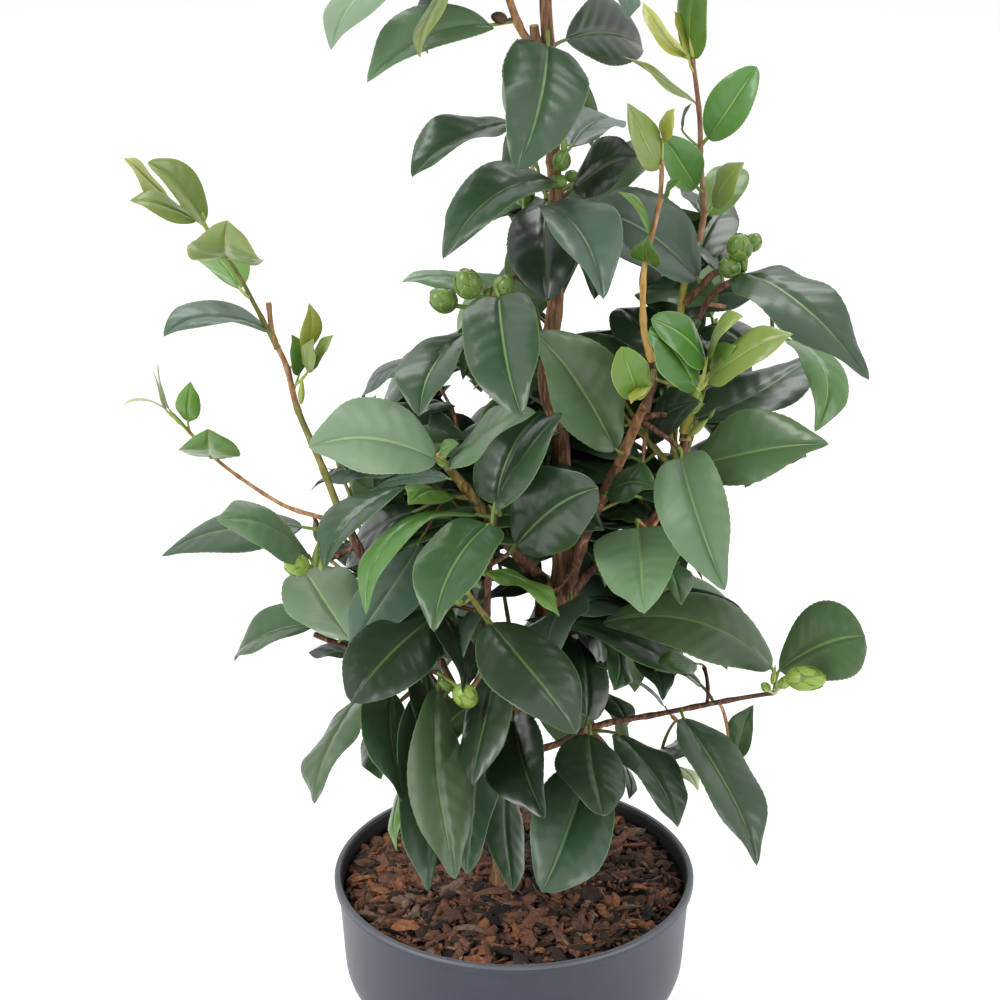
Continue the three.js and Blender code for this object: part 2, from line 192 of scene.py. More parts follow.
def rounded(points, r=1.2, k=4):
    """Rounds the corners of a profile with small arcs (quadratic)."""
    out = [np.array(points[0], float)]
    for i in range(1, len(points) - 1):
        a, b, c = (np.array(points[j], float) for j in (i - 1, i, i + 1))
        rr = min(r if np.isscalar(r) else r[i], np.linalg.norm(b - a) * 0.45, np.linalg.norm(c - b) * 0.45)
        p, q = b + unit(a - b) * rr, b + unit(c - b) * rr
        for t in np.linspace(0, 1, k + 1):
            out.append((1 - t) ** 2 * p + 2 * t * (1 - t) * b + t * t * q)
    out.append(np.array(points[-1], float))
    return out


def lathe(builder, profile, slots, seg=132):
    P = np.array(profile)
    a = np.linspace(0, 2 * math.pi, seg, endpoint=False)
    rings = np.stack([np.outer(P[:, 0], np.cos(a)), np.outer(P[:, 0], np.sin(a)), np.repeat(P[:, 1:2], seg, 1)], -1)
    n = len(P)
    i, j = np.meshgrid(np.arange(n - 1), np.arange(seg), indexing="ij")
    j2 = (j + 1) % seg
    q = np.stack([i * seg + j, i * seg + j2, (i + 1) * seg + j2, (i + 1) * seg + j], -1).reshape(-1, 4)
    builder.add(rings.reshape(-1, 3), q, np.repeat(np.asarray(slots, int), seg))


pot = Builder("nursery_pot")
g, dk, rim_highlight_slot = pot.slot(pot_grey), pot.slot(pot_inside_painted_shade), pot.slot(pot_rim_painted_highlight)
outer = [(0.01, 1.2), (44, 1.2), (58, 1.2), (60, 0), (BASE_R - 1.5, 0), (BASE_R, 2), (BASE_R + 3.2, 24), (BASE_R + 6.4, 48), (BODY_R - 1.0, STEP_Z - 6), (BODY_R - 0.4, STEP_Z - 2), (BODY_R + 1.2, STEP_Z + 1.0),
         (BODY_R + 4.5, STEP_Z + 3.8), (COLLAR_R - 2.4, STEP_Z + 9), (COLLAR_R - 0.6, STEP_Z + 15), (COLLAR_R, STEP_Z + 21), (COLLAR_R + 1.6, 128), (POT_RIM_R - 2.0, 144.6), (POT_RIM_R - 0.1, 145.2), (POT_RIM_R, 148.8), (POT_RIM_R - 1.0, 150)]
lip = [(POT_RIM_R - 1.0, 150), (POT_RIM_R - 3.0, 150)]
inner = [(POT_RIM_R - 3.0, 150), (POT_RIM_R - 4.0, 148.6), (COLLAR_R - 0.6, 128), (COLLAR_R - 2, STEP_Z + 21), (COLLAR_R - 5, STEP_Z + 8.6), (BODY_R - 1, STEP_Z + 1.5), (BODY_R - 2.8, STEP_Z - 2), (BASE_R - 2, 4), (BASE_R - 4, 2), (0.01, 2)]
prof = rounded(outer, 1.4) + rounded(lip, 0.5)[1:] + rounded(inner, 1.4)[1:]
P = np.array(prof)
# inside faces get the darker plastic: painted shade
ins = np.arange(len(P) - 1) >= len(rounded(outer, 1.4)) + len(rounded(lip, 0.5)) - 2
# the rim's top faces get the lighter grey: painted highlight
rim_highlight_faces = (P[:-1, 1] > 148.4) & (P[1:, 1] > 148.4) & ~ins
lathe(pot, prof, np.where(ins, dk, np.where(rim_highlight_faces, rim_highlight_slot, g)))
# drainage holes under the pot, as recessed cups with a moulded ring; the cup floors take the inside's darker plastic,
# painted shade
for k in range(6):
    a = math.radians(30 + 60 * k)
    cx, cy = 46 * math.cos(a), 46 * math.sin(a)
    t = np.linspace(0, 2 * math.pi, 20, endpoint=False)
    rr, zz = [5.6, 4.8, 4.4, 4.2], [1.15, 0.75, 0.75, 1.12]
    R = np.stack([np.stack([cx + r * np.cos(t), cy + r * np.sin(t), np.full(20, z)], -1) for r, z in zip(rr, zz)])
    q = [[i * 20 + j, (i + 1) * 20 + j, (i + 1) * 20 + (j + 1) % 20, i * 20 + (j + 1) % 20] for i in range(3) for j in range(20)]
    pot.add(R.reshape(-1, 3), q, [g] * 60)
    pot.add(np.vstack([R[3], [[cx, cy, 1.13]]]), [[j, 20, (j + 1) % 20] for j in range(20)], dk)
pot_obj = pot.make()

# ------------------------------------------------------------------ bark mulch
BARK_Z = 140.0
chip_cols = [("chip_red", (112, 72, 54), (142, 98, 74)), ("chip_brown", (88, 58, 43), (114, 80, 58)), ("chip_dark", (48, 32, 24), (68, 48, 36)), ("chip_orange", (138, 86, 54), (166, 112, 74)), ("chip_grey", (118, 94, 76), (148, 126, 102)), ("chip_black", (22, 15, 12), (34, 25, 19))]
chip_mats = [patterned(n, [(0.32, lin(*[c * 0.72 for c in a])), (0.5, lin(*a)), (0.68, lin(*b))], noise_scale=420, detail=7, rough=(0.62, 0.9), bump=0.55, bump_mm=0.5, bump_scale=900, distortion=0.6) for n, a, b in chip_cols]
rng = np.random.RandomState(11)
mulch = Builder("bark_chips")
cs = [mulch.slot(m) for m in chip_mats]


def bark_level(x, y):
    away = np.clip((np.hypot(x + 4, y) - 24) / 18, 0, 1)
    return BARK_Z + away * 2.0 * np.sin(x * 0.11 + 1.3) * np.cos(y * 0.13 - 0.6) - 2.0 * smoothstep(70, 88, np.hypot(x, y))


rr = np.linspace(0, 1, 34) ** 0.9 * (COLLAR_R + 1.2)
aa = np.linspace(0, 2 * math.pi, 120, endpoint=False)
X, Y = np.outer(rr, np.cos(aa)), np.outer(rr, np.sin(aa))
Z = bark_level(X, Y) - 1.0
Z += np.array([[noise.noise(Vector((x * 0.16, y * 0.16, 3.0))) * 1.6 for x, y in zip(rx, ry)] for rx, ry in zip(X, Y)])
grid = np.stack([X, Y, Z], -1).reshape(-1, 3)
q = [[i * 120 + j, (i + 1) * 120 + j, (i + 1) * 120 + (j + 1) % 120, i * 120 + (j + 1) % 120] for i in range(33) for j in range(120)]
mulch.add(grid, q, cs[5])
# the mulch body under the surface: side and floor inside the pot
side = [(COLLAR_R + 1.2, 136.5), (COLLAR_R - 2.6, 103), (BODY_R - 1.8, 83), (BASE_R - 3, 4), (0.01, 3)]
lathe(mulch, side, [cs[5]] * (len(side) - 1), seg=60)


def chip(L, W, T, rs, k=5):
    """One splintered chip of bark: an uneven slab with chipped ends."""
    xs = np.linspace(-0.5, 0.5, k)
    env = 1 - (np.abs(xs * 2) ** rs.uniform(2.0, 6.0)) * rs.uniform(0.3, 0.9)
    ws = W * 0.5 * env * rs.uniform(0.75, 1.15, k)
    bend = rs.uniform(-0.12, 0.12) * L * (1 - (xs * 2) ** 2)
    skew = rs.uniform(-0.18, 0.18, k) * W
    prof = []
    for i in range(k):
        t = T * 0.5 * (0.55 + 0.45 * env[i]) * rs.uniform(0.7, 1.2)
        x = xs[i] * L
        y0, w = skew[i], ws[i]
        prof.append([(x + rs.uniform(-.04, .04) * L, y0 - w, bend[i] - t * 0.3), (x, y0 - w * 0.55, bend[i] + t * rs.uniform(0.7, 1.3)), (x, y0 + w * 0.35, bend[i] + t * rs.uniform(0.8, 1.5)),
                     (x + rs.uniform(-.04, .04) * L, y0 + w, bend[i] + t * 0.1), (x, y0 + w * 0.4, bend[i] - t), (x, y0 - w * 0.5, bend[i] - t * 0.9)])
    V = np.array(prof).reshape(-1, 3)
    q = [[i * 6 + j, i * 6 + (j + 1) % 6, (i + 1) * 6 + (j + 1) % 6, (i + 1) * 6 + j] for i in range(k - 1) for j in range(6)]
    e = (k - 1) * 6
    q += [[3, 2, 1, 0], [5, 4, 3, 0], [e, e + 1, e + 2, e + 3], [e, e + 3, e + 4, e + 5]]
    return V, q


N_CHIPS = 2300
for i in range(N_CHIPS):
    r = 87.5 * math.sqrt(rng.uniform(0.0, 1.0))
    a = rng.uniform(0, 2 * math.pi)
    x, y = r * math.cos(a), r * math.sin(a)
    big = rng.rand() < 0.26 + (0.12 if x < -10 else 0)
    L = rng.uniform(10, 19) if big else rng.uniform(4.2, 10)
    W = L * rng.uniform(0.28, 0.62)
    T = rng.uniform(1.4, 3.6) if big else rng.uniform(1.0, 2.4)
    if r + L * 0.42 > 90.0:
        r = 90.0 - L * 0.42
        x, y = r * math.cos(a), r * math.sin(a)
    if math.hypot(x + 4, y) < 12:
        continue
    V, q = chip(L, W, T, rng)
    yaw, pitch, roll = rng.uniform(0, 6.283), rng.normal(0, 0.28), rng.normal(0, 0.45)
    cy_, sy_, cp, sp, cr, sr = math.cos(yaw), math.sin(yaw), math.cos(pitch), math.sin(pitch), math.cos(roll), math.sin(roll)
    Rm = np.array([[cy_, -sy_, 0], [sy_, cy_, 0], [0, 0, 1]]) @ np.array([[cp, 0, sp], [0, 1, 0], [-sp, 0, cp]]) @ np.array([[1, 0, 0], [0, cr, -sr], [0, sr, cr]])
    V = V @ Rm.T
    z = bark_level(x, y) + rng.uniform(-0.8, 3.4) * (0.5 + 0.5 * rng.rand()) + T * 0.3
    V = V + [x, y, z]
    rad_v = np.hypot(V[:, 0], V[:, 1])
    lim = 90.4
    over = rad_v > lim
    V[over, 0] *= lim / rad_v[over]
    V[over, 1] *= lim / rad_v[over]
    pr = [0.20, 0.28, 0.26, 0.08, 0.05, 0.13] if x > 0 else [0.30, 0.28, 0.16, 0.12, 0.08, 0.06]
    mulch.add(V, q, cs[rng.choice(6, p=pr)])
# fine fibres and crumbs
for i in range(450):
    r, a = 86 * math.sqrt(rng.rand()), rng.uniform(0, 6.283)
    x, y = r * math.cos(a), r * math.sin(a)
    L = rng.uniform(1.5, 4.0) if rng.rand() < 0.7 else rng.uniform(6, 13)
    V, q = chip(L, rng.uniform(0.5, 1.0) if L > 5 else L * 0.6, rng.uniform(0.4, 0.9), rng)
    yaw = rng.uniform(0, 6.283)
    c_, s_ = math.cos(yaw), math.sin(yaw)
    t_ = rng.normal(0, 0.3)
    V = np.stack([V[:, 0] * c_ - V[:, 1] * s_ + x, V[:, 0] * s_ + V[:, 1] * c_ + y, V[:, 2] + V[:, 0] * t_ + bark_level(x, y) + rng.uniform(2.4, 4.6)], -1)
    mulch.add(V, q, cs[rng.choice([0, 3, 4, 1])])
mulch_obj = mulch.make(smooth=False)

# ------------------------------------------------------------------ limbs
bark_brown = patterned("bark_brown", [(0.34, lin(58, 38, 26)), (0.46, lin(104, 72, 48)), (0.54, lin(142, 104, 72)), (0.66, lin(178, 140, 102))], scale=(1, 1, 0.09), noise_scale=460, rough=(0.60, 0.84), bump=0.9, bump_mm=0.7, bump_scale=1100, distortion=1.0)
bark_red = patterned("bark_red_brown", [(0.34, lin(48, 28, 20)), (0.46, lin(86, 54, 38)), (0.55, lin(112, 74, 50)), (0.68, lin(166, 126, 88))], scale=(1, 1, 0.20), noise_scale=420, rough=(0.5, 0.76), bump=0.8, bump_mm=0.5, bump_scale=1200, distortion=0.9)
bark_olive = patterned("bark_olive_brown", [(0.34, lin(84, 60, 34)), (0.47, lin(122, 96, 52)), (0.56, lin(146, 126, 66)), (0.68, lin(180, 164, 100))], scale=(1, 1, 0.24), noise_scale=400, rough=(0.46, 0.66), bump=0.6, bump_mm=0.4, bump_scale=1100, distortion=0.7)
stem_green = patterned("stem_yellow_green", [(0.34, lin(140, 134, 50)), (0.5, lin(172, 162, 66)), (0.66, lin(200, 184, 98))], scale=(1, 1, 0.3), noise_scale=300, rough=(0.38, 0.52), bump=0.25, bump_mm=0.2, bump_scale=1000)
stem_gold = patterned("stem_gold", [(0.34, lin(176, 128, 62)), (0.5, lin(204, 162, 90)), (0.66, lin(224, 190, 122))], scale=(1, 1, 0.3), noise_scale=300, rough=(0.40, 0.54), bump=0.25, bump_mm=0.2, bump_scale=1000)
stem_tan = patterned("stem_tan", [(0.34, lin(124, 82, 52)), (0.5, lin(162, 116, 76)), (0.66, lin(196, 156, 110))], scale=(1, 1, 0.3), noise_scale=320, rough=(0.42, 0.6), bump=0.3, bump_mm=0.25, bump_scale=1000)
stem_rose = patterned("stem_rose_brown", [(0.34, lin(112, 74, 54)), (0.5, lin(146, 104, 78)), (0.66, lin(180, 140, 106))], scale=(1, 1, 0.3), noise_scale=320, rough=(0.42, 0.6), bump=0.3, bump_mm=0.25, bump_scale=1000)
stem_olive = patterned("stem_olive", [(0.34, lin(92, 90, 42)), (0.5, lin(122, 118, 56)), (0.66, lin(154, 140, 82))], scale=(1, 1, 0.3), noise_scale=300, rough=(0.4, 0.56), bump=0.25, bump_mm=0.2, bump_scale=1000)
cut_wood = patterned("cut_wood", [(0.3, lin(196, 168, 128)), (0.7, lin(222, 200, 160))], noise_scale=900, rough=(0.6, 0.8), bump=0.2, bump_mm=0.2)
bud_brown = patterned("scale_brown", [(0.3, lin(60, 40, 30)), (0.7, lin(104, 70, 50))], noise_scale=700, rough=(0.45, 0.6), bump=0.2, bump_mm=0.2)


def spline(points, step=2.0):
    """Centripetal Catmull-Rom through the points, sampled evenly."""
    P = [np.array(p, float) for p in points]
    P = [2 * P[0] - P[1]] + P + [2 * P[-1] - P[-2]]
    out = []
    for i in range(1, len(P) - 2):
        p0, p1, p2, p3 = P[i - 1:i + 3]
        d = lambda a, b: max(np.linalg.norm(b - a), 1e-6) ** 0.5
        t0, t1 = 0.0, d(p0, p1)
        t2 = t1 + d(p1, p2)
        t3 = t2 + d(p2, p3)
        for t in np.linspace(t1, t2, 12, endpoint=False):
            a1 = (t1 - t) / (t1 - t0) * p0 + (t - t0) / (t1 - t0) * p1
            a2 = (t2 - t) / (t2 - t1) * p1 + (t - t1) / (t2 - t1) * p2
            a3 = (t3 - t) / (t3 - t2) * p2 + (t - t2) / (t3 - t2) * p3
            b1 = (t2 - t) / (t2 - t0) * a1 + (t - t0) / (t2 - t0) * a2
            b2 = (t3 - t) / (t3 - t1) * a2 + (t - t1) / (t3 - t1) * a3
            out.append((t2 - t) / (t2 - t1) * b1 + (t - t1) / (t2 - t1) * b2)
    out.append(P[-2])
    out = np.array(out)
    s = np.concatenate([[0], np.cumsum(np.linalg.norm(np.diff(out, axis=0), axis=1))])
    n = max(3, int(round(s[-1] / step)) + 1)
    ss = np.linspace(0, s[-1], n)
    return np.stack([np.interp(ss, s, out[:, k]) for k in range(3)], -1), ss


def tube(builder, C, S, radius, slot, sides=14, relief=0.0, nodes=(), seed=0, cap=None, tip=0.4, flat_base=False, stripes=9, bands=()):
    """Sweeps a round, uneven section along C. radius: array; nodes: swollen rings at lengths s; cap: slot of the end face."""
    n = len(C)
    T = unit(np.gradient(C, axis=0))
    N = np.zeros_like(C)
    ref = np.array([1.0, 0, 0]) if abs(T[0][0]) < 0.8 else np.array([0, 1.0, 0])
    N[0] = unit(ref - T[0] * (ref @ T[0]))
    for i in range(1, n):
        v = N[i - 1] - T[i] * (N[i - 1] @ T[i])
        N[i] = unit(v)
    Bn = np.cross(T, N)
    a = np.linspace(0, 2 * math.pi, sides, endpoint=False)
    R = np.repeat(np.asarray(radius, float)[:, None], sides, 1)
    for s0 in nodes:
        R *= 1 + 0.20 * np.exp(-((S - s0) / 1.7) ** 2)[:, None] + 0.10 * np.exp(-((S - s0 - 2.6) / 0.8) ** 2)[:, None]
    if relief:
        for i in range(n):
            for j in range(sides):
                c, s_ = math.cos(a[j]), math.sin(a[j])
                w = noise.noise(Vector((c * stripes * 0.25 + seed, s_ * stripes * 0.25, S[i] * 0.030))) + 0.5 * noise.noise(Vector((c * stripes * 0.6 + seed, s_ * stripes * 0.6, S[i] * 0.10 + 7)))
                R[i, j] *= 1 + relief * w
    V = C[:, None, :] + N[:, None, :] * (R * np.cos(a))[..., None] + Bn[:, None, :] * (R * np.sin(a))[..., None]
    if flat_base:
        V[0, :, 2] = C[0, 2]
    i, j = np.meshgrid(np.arange(n - 1), np.arange(sides), indexing="ij")
    j2 = (j + 1) % sides
    q = np.stack([i * sides + j, i * sides + j2, (i + 1) * sides + j2, (i + 1) * sides + j], -1).reshape(-1, 4)
    sl = np.full(len(q), slot)
    ring = np.repeat(np.asarray(S)[:-1], sides)
    for limit, other in bands:
        sl[ring >= limit * S[-1]] = other
    builder.add(V.reshape(-1, 3), q, sl)
    b0 = np.vstack([V[0], C[0]])
    builder.add(b0, [[(k + 1) % sides, k, sides] for k in range(sides)], slot)
    e = C[-1] + T[-1] * R[-1].mean() * tip
    b1 = np.vstack([V[-1], e])
    builder.add(b1, [[k, (k + 1) % sides, sides] for k in range(sides)], int(sl[-1]) if cap is None else cap)


def taper(S, r0, r1, ease=0.8):
    t = S / S[-1]
    return r0 + (r1 - r0) * t ** ease


SEAT = 140.35
TRUNK = [(-4, 0, SEAT), (-6.5, 0, 170), (-10.5, 0, 198), (-2, 0, 226), (16, 0, 287), (23, 0, 318), (24, 0, 366), (22, 0, 404), (15.5, 0, 428), (20, 0, 478), (18, 0, 556), (14, 0, 622), (11, 2, 676), (10, 3, 702)]
LIMBS = {
    "bough_left": ([(22, 0, 311), (8, -6, 331), (-5, -14, 349), (-17, -22, 371), (-29, -30, 392), (-38, -34, 405)], 2.8, 2.2, bark_red),
    "bough_right": ([(25, 0, 308), (34, -10, 347), (42, -18, 373), (52, -26, 400), (63, -32, 431)], 3.2, 2.4, bark_red),
    "bough_back_right": ([(24, 0, 306), (38, 6, 322), (51, 8, 333), (62, 4, 347), (73, -2, 361), (82, -10, 384), (84, -14, 408)], 2.6, 2.0, bark_red),
    "bough_low_right": ([(-5, 0, 219), (21, -10, 231), (44, -18, 247), (75, -26, 258), (110, -30, 268), (131, -32, 273)], 2.1, 1.1, bark_red),
    "bough_left_low": ([(-10, 0, 204), (-30, -5, 246), (-56, -8, 290), (-74, -8, 330), (-84, -5, 354)], 2.8, 2.1, bark_red),
    "bough_front": ([(-4, -1, 221), (-10, -22, 262), (-14, -42, 300), (-13, -58, 350), (-11, -62, 376)], 2.4, 1.5, bark_red),
    "bough_back": ([(13, 1, 274), (12, 28, 316), (6, 54, 352), (2, 74, 392), (0, 84, 410)], 2.4, 1.3, bark_red),
    "bough_back_left": ([(-10, 0, 202), (-28, 24, 238), (-50, 48, 276), (-66, 64, 306), (-72, 70, 320)], 2.4, 1.3, bark_red),
    "bough_back_low_right": ([(-8, 1, 211), (16, 28, 240), (42, 54, 270), (64, 70, 296), (72, 76, 308)], 2.4, 1.3, bark_red),
    "bough_back_right_side": ([(60, 4, 343), (66, 28, 362), (74, 56, 382), (77, 68, 394)], 1.8, 1.2, bark_red),
    "bough_back_upper": ([(20, 0, 460), (20, 26, 482), (18, 54, 496), (17, 66, 502)], 1.8, 1.2, bark_red),
    "bough_back_top": ([(17, 0, 564), (14, 18, 580), (8, 36, 588), (4, 50, 594)], 1.7, 1.1, stem_tan),
    "bough_top_left": ([(12, 1, 650), (-6, -3, 656), (-30, -12, 655), (-44, -14, 652)], 1.8, 1.2, stem_tan),
    "bough_right_outer": ([(83, 5, 446), (92, 12, 462), (99, 10, 474), (110, 4, 484)], 1.8, 1.3, bark_red),
    "stem_high_shoot": ([(84, -14, 404), (83, 0, 431), (82, 14, 464), (86, 16, 487), (92, 18, 507), (90, 18, 539), (89, 18, 561), (85, 19, 590)], 2.2, 1.1, stem_green),
    "stem_inner_shoot": ([(63, -32, 428), (67, -30, 446), (62, -28, 469), (62, -24, 502), (66, -18, 516), (69, -14, 530), (70, -12, 549)], 2.1, 1.0, bark_red),
    "stem_left_shoot": ([(-84, -5, 350), (-98, 6, 385), (-109, 14, 410), (-114, 16, 432), (-120, 17, 447), (-122, 18, 465)], 2.0, 1.3, stem_olive),
    "stem_left_side_shoot": ([(-118, 17, 441), (-128, 16, 463), (-136, 14, 481), (-141, 11, 491), (-152, 6, 511)], 1.3, 0.9, stem_olive),
    "stem_far_left_shoot": ([(-82, -4, 352), (-98, 2, 355), (-115, 8, 358), (-133, 14, 367), (-151, 20, 379), (-160, 22, 388), (-172, 24, 402)], 1.3, 0.8, stem_tan),
}
BANDS = {"bough_left": [(0.62, bark_olive)], "stem_high_shoot": [(0.52, stem_rose)], "stem_inner_shoot": [(0.20, stem_gold), (0.66, stem_tan)],
         "stem_left_shoot": [(0.55, stem_tan)], "bough_right": [(0.72, stem_tan)], "bough_top_left": [(0.6, stem_olive)]}
net_p, net_t, net_r = [], [], []      # the growing network: points, directions, radii


def grow(C, S, R):
    net_p.extend(C)
    net_t.extend(unit(np.gradient(C, axis=0)))
    net_r.extend(R)


trunk_b = Builder("trunk_bark")
ts = trunk_b.slot(bark_brown)
C, S = spline(TRUNK, 1.8)
R = 6.5 + (2.3 - 6.5) * (S / S[-1]) ** 0.9
a_ = np.exp(-S / 9)
R = R * (1 + 0.38 * a_)
tube(trunk_b, C, S, R, ts, sides=30, relief=0.22, nodes=[92, 148, 176, 232, 300, 352, 410, 470], seed=3, flat_base=True)
keep = S > 40
grow(C[keep][::2], S, R[keep][::2])
# root flare: low buttresses that fade into the mulch
for k, az in enumerate([20, 150, 265]):
    d = np.array([math.cos(math.radians(az)), math.sin(math.radians(az)), 0])
    c0 = np.array([-4, 0, 150.0]) + d * 3
    Cb, Sb = spline([c0, np.array([-4, 0, 144.5]) + d * 7, np.array([-4, 0, 141.5]) + d * 10.5], 1.2)
    tube(trunk_b, Cb, Sb, taper(Sb, 3.2, 1.2), ts, sides=10, relief=0.15, seed=40 + k, tip=0.2)
# short dry stub beside the top of the stem
Cb, Sb = spline([(14, -2, 597), (9.5, -3, 606), (8.5, -3, 613)], 1.2)
tube(trunk_b, Cb, Sb, taper(Sb, 2.6, 2.2), ts, sides=12, relief=0.12, seed=9, cap=trunk_b.slot(cut_wood), tip=0.05)
trunk_obj = trunk_b.make()

limb_lines = {}                       # centre lines that must stay in sight
boughs = Builder("boughs_bark")
cw = boughs.slot(cut_wood)
for k, (name, (pts, r0, r1, mat)) in enumerate(LIMBS.items()):
    C, S = spline(pts, 1.6)
    R = taper(S, r0, r1)
    R = R * (1 + 0.45 * np.exp(-S / 5.0))          # collar where it leaves its parent
    rs = np.random.RandomState(50 + k)
    stem = name.startswith("stem")
    nd = np.arange(rs.uniform(12, 20), S[-1], rs.uniform(17, 26))
    nd = nd + rs.uniform(-3, 3, len(nd))
    cut = name in ("stem_left_shoot", "bough_left")
    bands = [(f_, boughs.slot(m_)) for f_, m_ in BANDS.get(name, ())]
    tube(boughs, C, S, R, boughs.slot(mat), sides=14 if stem else 18, relief=0.07 if stem else 0.20, nodes=nd, seed=k * 3.1, cap=cw if cut else None, tip=0.06 if cut else 0.5, stripes=9, bands=bands)
    grow(C[3::2], S, R[3::2])
    if name in ("bough_left", "bough_right", "bough_back_right", "stem_high_shoot", "stem_inner_shoot", "stem_left_shoot", "stem_left_side_shoot", "stem_far_left_shoot"):
        limb_lines[name] = C.copy()
# dry pointed stubs and pale bud-scale collars seen on the boughs
for pts, r0, r1, mat in [([(-8, -16, 352), (-14, -20, 362), (-13, -21, 372)], 1.7, 0.6, bark_brown), ([(84, -12, 408), (86, -14, 420), (88, -16, 428)], 3.4, 2.2, stem_green), ([(86, -16, 424), (89, -18, 434), (91, -20, 441)], 2.6, 1.4, stem_green),
                         ([(59, -30, 420), (66, -31, 425), (77, -28, 424), (84, -20, 420)], 1.6, 1.2, bark_red)]:
    C, S = spline(pts, 1.2)
    tube(boughs, C, S, taper(S, r0, r1), boughs.slot(mat), sides=10, relief=0.1, seed=len(S), tip=0.6)
boughs_obj = boughs.make()

# ------------------------------------------------------------------ leaves
FAMILIES = {  # blade, rib, margin, underside (sRGB), roughness, coat
    "m": ((50, 77, 50), (104, 134, 78), (84, 114, 66), (96, 120, 80), 0.42, 0.14),
    "d": ((42, 62, 40), (84, 112, 64), (70, 98, 56), (84, 108, 70), 0.38, 0.20),
    # x: near-black green, painted shade on leaves that sit in shadow
    "x": ((27, 42, 29), (58, 80, 46), (50, 70, 42), (60, 82, 52), 0.36, 0.20),
    "m2": ((54, 87, 47), (112, 144, 80), (94, 126, 66), (104, 130, 82), 0.42, 0.14),
    "m3": ((54, 82, 54), (98, 132, 84), (84, 116, 74), (92, 122, 84), 0.40, 0.16),
    # g: the leaf green with painted grey sheen mixed into the blade colour
    "g": ((74, 96, 80), (116, 136, 104), (90, 112, 86), (104, 126, 96), 0.46, 0.12),
    "l": ((92, 132, 52), (146, 172, 88), (126, 152, 64), (132, 160, 82), 0.42, 0.14),
    "l4": ((80, 124, 56), (142, 170, 90), (104, 140, 68), (120, 150, 80), 0.42, 0.14),
    "y": ((166, 172, 74), (200, 202, 116), (184, 172, 84), (184, 190, 106), 0.44, 0.10),
    "o": ((122, 142, 70), (170, 178, 104), (152, 148, 80), (150, 166, 98), 0.42, 0.12),
    # s and s2: pale leaf greens that paint the blade's sheen, a painted reflection of the light
    "s": ((116, 140, 110), (150, 174, 126), (126, 152, 112), (112, 136, 104), 0.48, 0.10),
    "s2": ((102, 132, 96), (128, 154, 104), (118, 144, 94), (104, 128, 96), 0.44, 0.14),
    "k": ((76, 102, 66), (112, 138, 84), (96, 122, 72), (92, 116, 80), 0.42, 0.14),
    "l6": ((66, 114, 42), (150, 180, 92), (128, 160, 76), (116, 148, 78), 0.40, 0.16),
    "r": ((90, 124, 44), (150, 168, 80), (172, 160, 76), (150, 162, 90), 0.42, 0.14),
    "w": ((186, 198, 150), (206, 212, 170), (196, 200, 150), (196, 204, 160), 0.5, 0.0),
}
# g2, g3 and g4 share g's painted grey sheen
ALIAS = {"g2": "g", "g3": "g", "g4": "g", "l2": "l", "l3": "l4", "l5": "l", "m4": "m", "y2": "o", "o2": "o", "o3": "o", "w2": "w"}
TONES = (0.86, 1.0, 1.14)
_leaf_mats = {}


def leaf_mats(fam, tone):
    fam = ALIAS.get(fam, fam)
    key = (fam, tone)
    if key not in _leaf_mats:
        cols = FAMILIES[fam]
        k = TONES[tone]
        _leaf_mats[key] = [base_material("leaf_%s%d_%s" % (fam, tone, part), tuple(min(1, c * k) for c in lin(*cols[i])[:3]) + (1.0,), rough=cols[4] + (0.12 if i == 3 else -0.04), coat=0.0 if i == 3 else cols[5] + 0.16, coat_rough=0.20)
                           for i, part in enumerate(("blade", "rib", "margin", "under"))]
    return _leaf_mats[key]


V_FINE = np.array([0, 0.035, 0.10, 0.24, 0.40, 0.56, 0.72, 0.86, 0.968, 1.0])
V_PLAIN = np.array([0, 0.045, 0.34, 0.70, 0.94, 1.0])


